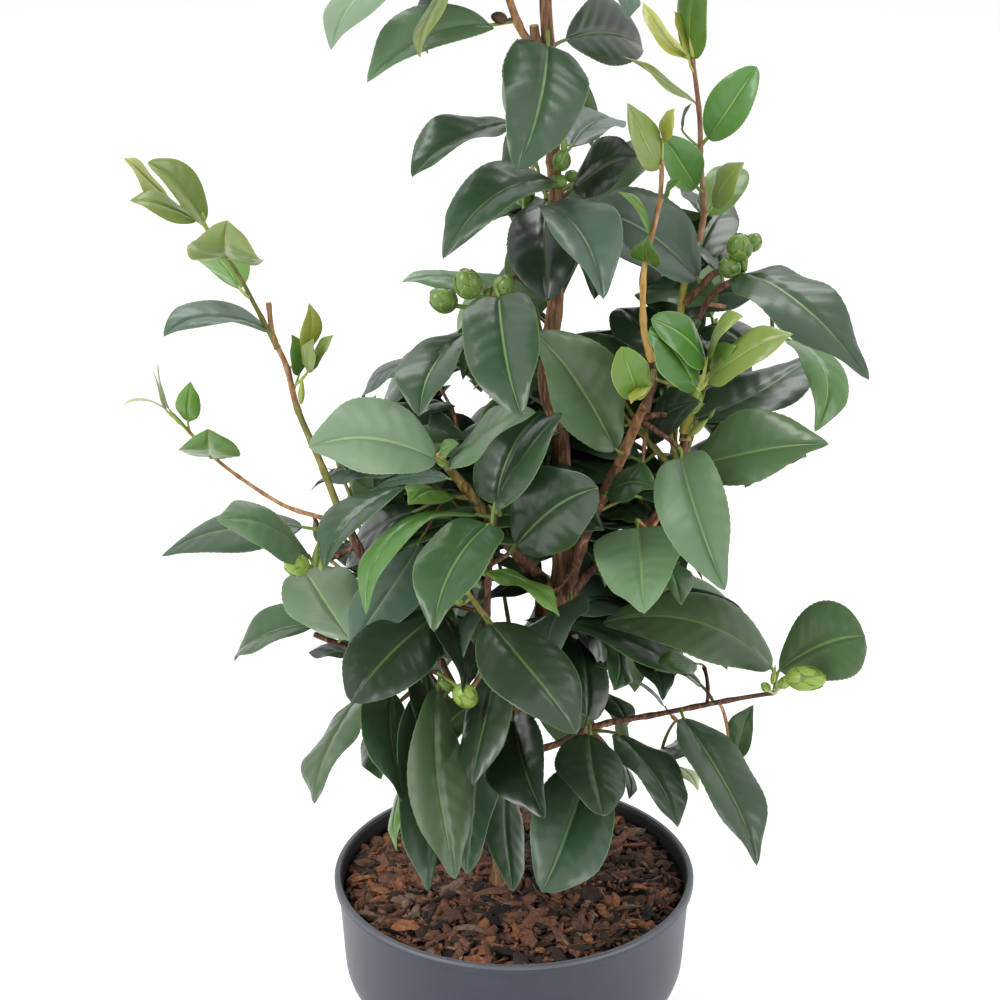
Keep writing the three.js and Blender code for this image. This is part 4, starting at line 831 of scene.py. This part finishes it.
def splat(pts, r=0):
    x, y = project(pts)
    i, j = ((y - OY) / CELL).astype(int), ((x - OX) / CELL).astype(int)
    ok = (i >= 0) & (i < GH) & (j >= 0) & (j < GW)
    mask[i[ok], j[ok]] = True


depth = np.full((GH, GW), 1e9)


def cells(pts):
    x, y = project(pts)
    i, j = ((y - OY) / CELL).astype(int), ((x - OX) / CELL).astype(int)
    ok = (i >= 0) & (i < GH) & (j >= 0) & (j < GW)
    return i, j, ok


for t_ in hero_tops:
    splat(t_)
    i_, j_, ok_ = cells(t_)
    np.minimum.at(depth, (i_[ok_], j_[ok_]), ((t_ - CAM_POS) @ CAM_F)[ok_])
for name_, c_ in limb_lines.items():
    i_, j_, ok_ = cells(c_)
    np.minimum.at(depth, (i_[ok_], j_[ok_]), ((c_ - CAM_POS) @ CAM_F)[ok_])
pd_ = np.pad(depth, 1, constant_values=1e9)
depth = np.min([depth, pd_[:-2, 1:-1], pd_[2:, 1:-1], pd_[1:-1, :-2], pd_[1:-1, 2:]], axis=0)
splat(np.array(net_p[:400]))


def grown(m, k):
    for _ in range(k):
        p = np.pad(m, 1)
        m = p[1:-1, 1:-1] | p[:-2, 1:-1] | p[2:, 1:-1] | p[1:-1, :-2] | p[1:-1, 2:]
    return m


closed = ~grown(~grown(mask, 2), 2)      # gaps under about 16 px across close; wider ones stay open
allowed = grown(mask, 1) | closed
# above the picture's edge the crown is free inside a rounded outline
yy, xx = np.meshgrid(np.arange(GH) * CELL + OY, np.arange(GW) * CELL + OX, indexing="ij")
top_px = 555 + (yy < 0) * 0
half = 40 + 115 * np.clip((yy + 300) / 240.0, 0, 1) ** 0.7
allowed |= (yy < -14) & (np.abs(xx - 550) < half) & (yy > -290)
pot_zone = (yy > 905)
allowed &= ~pot_zone


def fits(pts, share=0.985):
    """True where points fall inside the crown's outline and behind the leaves placed by name."""
    i, j, ok = cells(pts)
    if not ok.all() or allowed[i, j].mean() < share:
        return False
    z = (np.asarray(pts) - CAM_POS) @ CAM_F
    return bool(np.all((z > depth[i, j] + 4.0) | (depth[i, j] > 1e8)))


def outline(B, T, n, h):
    """Sample points of a leaf's blade, for the outline test."""
    t = unit(T - B)
    s = unit(np.cross(t, n))
    pts = []
    for u in np.linspace(0, 1, 12):
        w = h * math.sin(math.pi * min(1, u ** 0.85)) ** 0.8
        for v in (-1, -0.66, -0.33, 0, 0.33, 0.66, 1):
            pts.append(B + (T - B) * u + s * v * w + n * 4 * u * (1 - u) * 5)
    return np.array(pts)


# ------------------------------------------------------------------ seeded shoots that fill the crown behind and above
fill = [Builder("foliage_back_upper"), Builder("foliage_back_low"), Builder("foliage_inner")]
rng = np.random.RandomState(2024)
hero_centres = np.array([t_.mean(0) for t_ in hero_tops])
placed = [np.array(c) for c in hero_centres]
placed_n = 0
bud_spots = []
CROWN_LO, CROWN_HI = np.array([-165, -118, 176]), np.array([158, 156, 731])


def crown_reach(p):
    """Rough body of the crown seen from the sides: fuller low down, narrow at the top."""
    z = p[2]
    ry = 60 + 82 * np.clip((640 - z) / 260.0, 0, 1) - 40 * np.clip((235 - z) / 70.0, 0, 1)
    rx = 70 + 95 * np.clip((640 - z) / 300.0, 0, 1)
    return ((p[0] - 8) / rx) ** 2 + ((p[1] - 6) / ry) ** 2 <= 1


def shoot(start, direction, length, target, size=1.0, leaves=True, r0=1.4, fams=("m", "d", "m2"), tip_fam=None, free=False):
    """A leafy shoot: it bends up as it grows and carries leaves two-fifths of a turn apart."""
    global placed_n
    d = unit(direction)
    side = unit(np.cross(d, [0, 0, 1]) + 1e-3)
    end = start + d * length + np.array([0, 0, 0.16 * length])
    C = hermite(start, d * length * 0.9, end, unit(d + [0, 0, 0.7]) * length * 0.8, 16)
    C = C + side * (np.sin(np.linspace(0, 3.1, 16)) * rng.uniform(-0.05, 0.05) * length)[:, None]
    if not fits(C, 0.9) and not free:
        return 0
    S = np.concatenate([[0], np.cumsum(np.linalg.norm(np.diff(C, axis=0), axis=1))])
    made = 0
    az = rng.uniform(0, 360)
    s = rng.uniform(10, 18)
    got = []
    while s < S[-1] + 6:
        f = min(1.0, s / S[-1])
        base = np.array([np.interp(min(s, S[-1]), S, C[:, i]) for i in range(3)])
        ax = unit(np.array([np.interp(min(1, f + 0.05) * S[-1], S, C[:, i]) for i in range(3)]) - np.array([np.interp(max(0, f - 0.05) * S[-1], S, C[:, i]) for i in range(3)]))
        a0 = unit(np.cross(ax, [0.2, 0.1, 1]))
        b0 = np.cross(ax, a0)
        for attempt in range(5):
            az_ = math.radians(az + attempt * 41 + rng.uniform(-14, 14))
            rad = a0 * math.cos(az_) + b0 * math.sin(az_)
            lean = rng.uniform(0.35, 0.8)
            ld = unit(rad + ax * lean + np.array([0, 0, -rng.uniform(0.12, 0.5)]))
            L = rng.uniform(66, 90) * size * (1 - 0.25 * f * (tip_fam is not None))
            h = L * rng.uniform(0.215, 0.25)
            lb = base + ld * rng.uniform(7, 11)
            lt = lb + unit(ld + np.array([0, 0, -rng.uniform(0.05, 0.35)])) * L
            n = unit(np.array([rng.normal(0, 0.30), rng.normal(0, 0.30), 1.0]) - 0.35 * np.array([ld[0], ld[1], 0]) * -1)
            n = unit(n - unit(lt - lb) * (n @ unit(lt - lb)))
            O = outline(lb, lt, n, h)
            mid = O.mean(0)
            if not (np.all(O.min(0) > CROWN_LO) and np.all(O.max(0) < CROWN_HI)):
                continue
            if not crown_reach(lt) or not fits(O):
                continue
            if min(np.linalg.norm(np.array(placed) - mid, axis=1)) < 19:
                continue
            # keep clear of the camera's side of the leaves already placed by name
            bow = n * L * rng.uniform(0.05, 0.10)
            fam = fams[rng.randint(len(fams))] if tip_fam is None or f < 0.8 else tip_fam
            got.append((lb, (lb + lt) / 2 + bow, lt, n, h, rng.uniform(2, 22), fam, base, ax))
            placed.append(mid)
            break
        az += 137.5
        s += rng.uniform(13, 21)
    if len(got) < 2:
        for _ in got:
            placed.pop()
        return 0
    last = max(float(np.linalg.norm(C - g_[7], axis=1).argmin()) for g_ in got)
    C, S = C[:int(last) + 1], S[:int(last) + 1]
    if len(C) < 3:
        C, S = hermite(start, d * length * 0.5, got[-1][7], d * length * 0.5, 6), np.linspace(0, 1, 6)
        S = np.concatenate([[0], np.cumsum(np.linalg.norm(np.diff(C, axis=0), axis=1))])
    R = taper(S, r0, 0.9)
    tube(twigs, C, S, R, tw_red if r0 > 1.5 else tw_olive, sides=8, nodes=S[-1] * np.array([0.3, 0.6, 0.9]), seed=placed_n % 13)
    bud_spots.append((C[-1], unit(C[-1] - C[-3])))
    grow(C[3:], S, R[3:])
    for lb, lm, lt, n, h, beta, fam, base, ax in got:
        rs = np.random.RandomState(7000 + placed_n)
        placed_n += 1
        tone = int(rs.choice(3))
        leaf(target, lb, lm, lt, n, h, beta, fam, tone, rs, fine=False, peak=rs.uniform(0.40, 0.50), acum=rs.uniform(0.12, 0.34), curl=rs.uniform(0.02, 0.09), full=rs.uniform(0.62, 0.76))
        t = unit(lt - lb)
        Cp = hermite(base, ax * 4, lb + t * 1.5, t * 8, 7)
        Sp = np.concatenate([[0], np.cumsum(np.linalg.norm(np.diff(Cp, axis=0), axis=1))])
        tube(petioles, Cp, Sp, taper(Sp, 1.1, 0.85), petioles.slot(pet_green if fam != "d" else pet_dark), sides=6, tip=0.3)
    return len(got)


# above the picture: the leader and side shoots up to the tip
n_top = 0
for k in range(64):
    z0 = 600 + 98 * ((k * 0.618) % 1.0)
    i = int(np.argmin(np.abs(np.array(net_p)[:170, 2] - z0)))
    start = np.array(net_p[i])
    az = k * 137.5 + 20
    el = rng.uniform(5, 45)
    d = np.array([math.cos(math.radians(az)) * math.cos(math.radians(el)), math.sin(math.radians(az)) * math.cos(math.radians(el)), math.sin(math.radians(el))])
    n_top += shoot(start, d, rng.uniform(18, 46), fill[0], size=rng.uniform(0.72, 0.92), r0=1.3, fams=("m", "m2", "d"), tip_fam="m2")
# behind and inside: shoots from every bough, outwards
starts = []
for name, (pts, r0, r1, mat) in LIMBS.items():
    if name.startswith("bough"):
        P_ = np.array(pts, float)
        starts += [(P_[-1], unit(P_[-1] - P_[-2]), 1.0, name), (P_[-2], unit(P_[-1] - P_[-2]), 0.8, name), ((P_[-2] + P_[-3]) / 2 if len(P_) > 2 else P_[0], unit(P_[-1] - P_[-2]), 0.7, name)]
for zt in (250, 300, 345, 390, 440, 490, 530, 570):
    i = int(np.argmin(np.abs(np.array(net_p)[:170, 2] - zt)))
    starts.append((np.array(net_p[i]), np.array([0, 0, 1.0]), 0.8, "trunk"))
counts = {}
rounds = 7
for rnd in range(rounds):
    for start, axis, w, name in starts:
        back = "back" in name or name == "trunk"
        for m in range(3 if back else 1):
            az = rng.uniform(0, 360)
            el = rng.uniform(-12, 48)
            d = np.array([math.cos(math.radians(az)) * math.cos(math.radians(el)), math.sin(math.radians(az)) * math.cos(math.radians(el)), math.sin(math.radians(el))])
            if back:
                d[1] = abs(d[1]) * 1.1
            d = unit(d + 0.4 * axis)
            tgt = fill[0] if start[2] > 380 else fill[1]
            if not back:
                tgt = fill[2]
            # s2 in these mixes is the painted-sheen family
            # x in these mixes is the painted-shade family
            counts[name] = counts.get(name, 0) + shoot(start, d, rng.uniform(34, 92), tgt, size=rng.uniform(0.85, 1.05), fams=("m", "d", "d", "m2", "x", "k") if start[1] < 30 else ("m", "k", "m2", "m", "s2", "d"))
print("fill leaves", placed_n, "top", n_top, counts)

# ------------------------------------------------------------------ buds
buds = Builder("buds")
bud_green = [base_material("bud_scale_%d" % i, lin(*c), 0.34, coat=0.25, coat_rough=0.2) for i, c in enumerate([(98, 130, 54), (110, 142, 60), (90, 120, 50)])]
bud_edge = base_material("bud_scale_edge", lin(116, 138, 66), 0.42)
bud_young = [base_material("bud_young_%d" % i, lin(*c), 0.36, coat=0.2, coat_rough=0.2) for i, c in enumerate([(136, 168, 66), (148, 178, 76)])]
bs = [buds.slot(m) for m in bud_green]
be = buds.slot(bud_edge)
by = [buds.slot(m) for m in bud_young]
bb = buds.slot(bud_brown)


def bud(centre, axis, r, long=1.15, young_bud=False, seed=0, scales=11, dark=False):
    """A closed flower bud: an egg-shaped core wrapped in overlapping rounded scales."""
    rs = np.random.RandomState(300 + seed)
    axis = unit(np.array(axis, float))
    a0 = unit(np.cross(axis, [0.3, 0.8, 0.1]))
    b0 = np.cross(axis, a0)
    centre = np.array(centre, float)

    def place(lat, lon, k):
        rr = np.sin(lat) * r * k * (1 - 0.16 * (1 - np.cos(lat)) / 2)
        zz = -np.cos(lat) * r * long * k
        return centre + axis * zz[..., None] + a0 * (rr * np.cos(lon))[..., None] + b0 * (rr * np.sin(lon))[..., None]

    fine = r > 2.4
    na, no = (10, 16) if fine else (6, 8)
    la, lo = np.meshgrid(np.linspace(0.02, math.pi - 0.02, na), np.linspace(0, 2 * math.pi, no, endpoint=False), indexing="ij")
    V = place(la, lo, np.full_like(la, 0.95))
    i, j = np.meshgrid(np.arange(na - 1), np.arange(no), indexing="ij")
    q = np.stack([i * no + j, i * no + (j + 1) % no, (i + 1) * no + (j + 1) % no, (i + 1) * no + j], -1).reshape(-1, 4)
    pal = [bb, bb, bb] if dark else (by if young_bud else bs)
    buds.add(V.reshape(-1, 3), q, pal[0])
    for s in range(scales):
        row = s / scales
        lon0 = s * 2.4
        top = 1.15 + 1.75 * row
        wid = 1.25 - 0.35 * row
        n1, n2 = (8, 7) if fine else (4, 4)
        vv = np.linspace(-1, 1, n2)
        tt = np.linspace(0, 1, n1)
        T_, V_ = np.meshgrid(tt, vv, indexing="ij")
        lat = 0.12 + (top - 0.12) * T_ * (1 - 0.10 * V_ ** 2 * T_)
        w = wid * np.sqrt(np.clip(1 - (T_ * 0.98) ** 5, 0, 1)) / np.maximum(0.45, np.sin(np.clip(lat, 0.5, 2.7)))
        lon = lon0 + V_ * w * 0.62
        k = 1.0 + 0.028 * (1 - row) + 0.006 * T_ ** 3 - 0.016 * V_ ** 2
        G = place(lat, lon, k)
        Gi = place(lat, lon, k - 0.045)
        A = np.concatenate([G.reshape(-1, 3), Gi.reshape(-1, 3)])
        i, j = np.meshgrid(np.arange(n1 - 1), np.arange(n2 - 1), indexing="ij")
        a = i * n2 + j
        q1 = np.stack([a, a + 1, a + n2 + 1, a + n2], -1).reshape(-1, 4)
        q2 = q1[:, ::-1] + n1 * n2
        edge = ((i == n1 - 2) | (j == 0) | (j == n2 - 2)).reshape(-1)
        o = n1 * n2
        rim = [[(n1 - 1) * n2 + j_, (n1 - 1) * n2 + j_ + 1, (n1 - 1) * n2 + j_ + 1 + o, (n1 - 1) * n2 + j_ + o] for j_ in range(n2 - 1)]
        rim += [[i_ * n2 + n2 - 1, (i_ + 1) * n2 + n2 - 1, (i_ + 1) * n2 + n2 - 1 + o, i_ * n2 + n2 - 1 + o][::-1] for i_ in range(n1 - 1)]
        rim += [[i_ * n2, (i_ + 1) * n2, (i_ + 1) * n2 + o, i_ * n2 + o] for i_ in range(n1 - 1)]
        pick = pal[int(rs.randint(len(pal)))]
        buds.add(A, np.concatenate([q1, q2, np.array(rim)]), np.concatenate([np.where(edge & (rs.rand() < 0.8), be if not dark else bb, pick), np.full(len(q2), pick), np.full(len(rim), be if not dark else bb)]))


def stalk(p0, p1, r=1.3, mat=None):
    p0, p1 = np.array(p0, float), np.array(p1, float)
    C = hermite(p0, (p1 - p0) * 0.9, p1, (p1 - p0) * 0.9 + [0, 0, 2], 8)
    S = np.concatenate([[0], np.cumsum(np.linalg.norm(np.diff(C, axis=0), axis=1))])
    tube(petioles, C, S, taper(S, r, r * 0.9), petioles.slot(mat or pet_green), sides=8, tip=0.3)


def nearest(p):
    NP_ = np.array(net_p)
    return NP_[int(np.argmin(np.linalg.norm(NP_ - np.array(p, float), axis=1)))]


BUDS = [  # centre, axis, radius, length ratio, young, dark
    ((-35, -22, 482), (-0.7, -0.3, 0.5), 6.9, 1.10, False, False),
    ((-23, -26, 492), (-0.3, -0.3, 0.9), 7.4, 1.10, False, False),
    ((-5, -24, 490), (0.5, -0.4, 0.7), 5.8, 1.10, False, False),
    ((-13, -20, 485), (0.1, -0.3, 0.5), 3.2, 1.20, False, False),
    ((22, -14, 550), (0.1, -0.4, 0.8), 4.8, 1.20, False, False),
    ((21, -14, 539), (0.6, -0.4, 0.1), 3.7, 1.10, False, False),
    ((27, -8, 540), (0.7, -0.4, 0.3), 3.2, 1.10, False, False),
    ((109, 0, 501), (-0.1, -0.4, 0.8), 6.9, 1.10, False, False),
    ((116, 6, 501), (0.6, -0.2, 0.7), 4.8, 1.10, False, False),
    ((104, -2, 491), (-0.4, -0.6, 0.3), 5.8, 1.10, False, False),
    ((-109, -26, 342), (-0.6, -0.4, 0.4), 6.3, 1.15, True, False),
    ((144, -64, 298), (0.9, -0.3, 0.1), 6.9, 1.50, True, False),
    ((134, -58, 293), (0.5, -0.3, 0.7), 3.2, 1.50, True, False),
    ((125, -50, 286), (-0.4, -0.4, 0.6), 2.6, 1.40, True, False),
    ((-24, -92, 303), (0.5, -0.4, -0.4), 6.3, 1.10, True, False),
    ((-80, -26, 311), (0.1, -0.2, 0.9), 2.6, 1.90, False, False),
    ((-28, -78, 348), (-0.5, -0.3, 0.6), 2.6, 1.50, False, False),
    ((-8, -4, 617), (-0.8, -0.2, 0.3), 3.2, 1.30, False, True),
    ((-34, -90, 308), (-0.5, -0.3, 0.5), 2.6, 1.60, False, False),
    ((88, -18, 427), (0.2, -0.2, 0.9), 4.2, 1.70, True, False),
]
for k, (c, ax, r, lg, yg, dk_) in enumerate(BUDS):
    ax = unit(np.array(ax, float))
    base = np.array(c, float) - ax * r * lg * 0.9
    q_ = nearest(base)
    if np.linalg.norm(q_ - base) < 60:
        stalk(q_, base, 1.35 if r > 4 else 0.9, pet_yellow if yg else (bud_brown if dk_ else pet_green))
    bud(c, ax, r, lg, yg, k, scales=11 if r > 4 else 7, dark=dk_)
# small pointed leaf buds at the ends of the shoots behind
for k, (p_, d_) in enumerate(bud_spots):
    if k % 5 == 2 and p_[1] > 25:
        up = unit(d_ + np.array([0, 0.2, 0.7]))
        bud(np.array(p_) + up * 6.4, up, 5.2 + (k % 3) * 0.7, 1.12, False, 100 + k, scales=9)
    else:
        bud(np.array(p_) + d_ * 1.6, d_, 1.5, 2.0, False, 100 + k, scales=4)
# narrow unopened leaf spikes (rolled young leaves)
for p0, p1, r, m in [((23, -14, 554), (23, -16, 564), 1.3, 'g'), ((-100, -24, 340), (-98, -24, 354), 1.4, 'g'), ((-97, -22, 337), (-96, -22, 349), 1.3, 'y'), ((86, -16, 408), (95, -20, 419), 1.6, 'y'), ((130, -32, 278), (131, -34, 290), 1.2, 'y'), ((-39, -60, 284), (-30, -62, 292), 1.2, 'g'), ((72, -10, 560), (75, -10, 574), 1.6, 'y'), ((-7, -24, 368), (-13, -26, 375), 1.8, 'g'), ((63, -24, 502), (59, -28, 510), 1.4, 'y'), ((95, -20, 419), (98, -22, 425), 0.9, 'g'), ((-83, -24, 299), (-81, -24, 315), 1.3, 'g'), ((-165, 22, 394), (-175, 22, 407), 0.8, 'g'), ((86, 20, 589), (83, 18, 601), 1.2, 'y'), ((-151, 6, 511), (-155, 6, 525), 1.1, 'y'), ((-153, 20, 379), (-164, 22, 393), 0.9, 'g'), ((-107, 14, 412), (-106, 14, 427), 1.3, 'y')]:
    C = hermite(np.array(p0, float), (np.array(p1) - np.array(p0)) * 1.0, np.array(p1, float), (np.array(p1) - np.array(p0)) * 0.8 + [0, -1, 1], 12)
    S = np.concatenate([[0], np.cumsum(np.linalg.norm(np.diff(C, axis=0), axis=1))])
    t = S / S[-1]
    R = r * (0.45 + 0.9 * np.sin(math.pi * np.clip(t, 0, 1) ** 0.75)) * (1 - 0.75 * t ** 3)
    tube(petioles, C, S, np.maximum(R, 0.12), petioles.slot({"y": pet_yellow, "g": pet_green}[m]), sides=8, tip=1.0)

# ------------------------------------------------------------------ make the joined pieces
pieces = {b.name: b.make() for b in [front_up, front_mid, front_low, young, twigs, petioles, buds] + fill if b.v}
tri = {}
for nme, o in list(pieces.items()) + [("trunk_bark", trunk_obj), ("boughs_bark", boughs_obj), ("bark_chips", mulch_obj), ("nursery_pot", pot_obj)]:
    o.data.calc_loop_triangles()
    tri[nme] = len(o.data.loop_triangles)
print("triangles", tri, sum(tri.values()))

for o in list(pieces.values()) + [trunk_obj, boughs_obj, mulch_obj, pot_obj]:
    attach(o, "root")
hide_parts("pot")
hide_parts("bark_mulch")
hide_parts("trunk")
nodes = list(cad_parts)
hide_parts(*[n for n in nodes if n.startswith("bough") or n.startswith("stem")])
young_nodes = ["leaves_left_shoot_tip", "leaves_left_shoot_blade", "leaves_left_shoot_sprout", "leaves_far_left_sprout", "leaves_high_shoot", "leaves_inner_shoot"]
up_nodes = ["leaves_top_left", "leaves_top_front", "leaves_upper_left", "leaves_upper_right", "leaves_right_outer"]
mid_nodes = ["leaves_right_middle", "leaves_centre", "leaves_left_centre", "leaves_left_middle", "leaves_left_outer"]
low_nodes = ["leaves_left_low", "leaves_front_hanging", "leaves_centre_low", "leaves_right_low", "leaves_right_low_shoot"]
backs_up = ["leaves_crown_top", "leaves_back_top", "leaves_back_upper"]
backs_low = ["leaves_back_right", "leaves_back_left", "leaves_back_low_left", "leaves_back_low_right", "leaves_back_low"]
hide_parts(*young_nodes)
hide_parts(*up_nodes)
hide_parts(*mid_nodes)
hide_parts(*low_nodes)
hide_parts(*backs_up)
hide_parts(*backs_low)

# ------------------------------------------------------------------ floor, light
floor_me = bpy.data.meshes.new("floor")
fs = 6.0
floor_me.from_pydata([(-fs, -fs, 0), (fs, -fs, 0), (fs, fs, 0), (-fs, fs, 0)], [], [(0, 1, 2, 3)])
floor = bpy.data.objects.new("floor", floor_me)
bpy.context.collection.objects.link(floor)
floor_me.materials.append(base_material("floor_white", (0.93, 0.93, 0.93, 1), 0.9, spec=0.1))

world = bpy.data.worlds.new("studio")
bpy.context.scene.world = world
world.use_nodes = True
world.node_tree.nodes["Background"].inputs["Color"].default_value = (1.0, 1.0, 1.0, 1)
world.node_tree.nodes["Background"].inputs["Strength"].default_value = 0.85


def area(name, loc, target, size, power, color=(1, 1, 1)):
    d = bpy.data.lights.new(name, "AREA")
    d.shape = "RECTANGLE"
    d.size, d.size_y = size
    d.energy = power
    d.color = color
    o = bpy.data.objects.new(name, d)
    bpy.context.collection.objects.link(o)
    o.location = loc
    o.rotation_euler = (Vector(target) - Vector(loc)).to_track_quat("-Z", "Y").to_euler()
    return o


area("key_left", (-1.5, -0.9, 1.7), (0, 0, 0.35), (1.0, 1.2), 26, (1.0, 0.99, 0.97))
area("fill_right", (1.7, -0.8, 1.2), (0, 0, 0.35), (0.9, 1.2), 12)
area("top_back", (0.2, 1.0, 2.0), (0, 0, 0.4), (1.4, 0.8), 16)
vs = bpy.context.scene.view_settings
vs.view_transform = "Standard"
vs.look = "None"
vs.exposure = 0.0
vs.gamma = 1.0
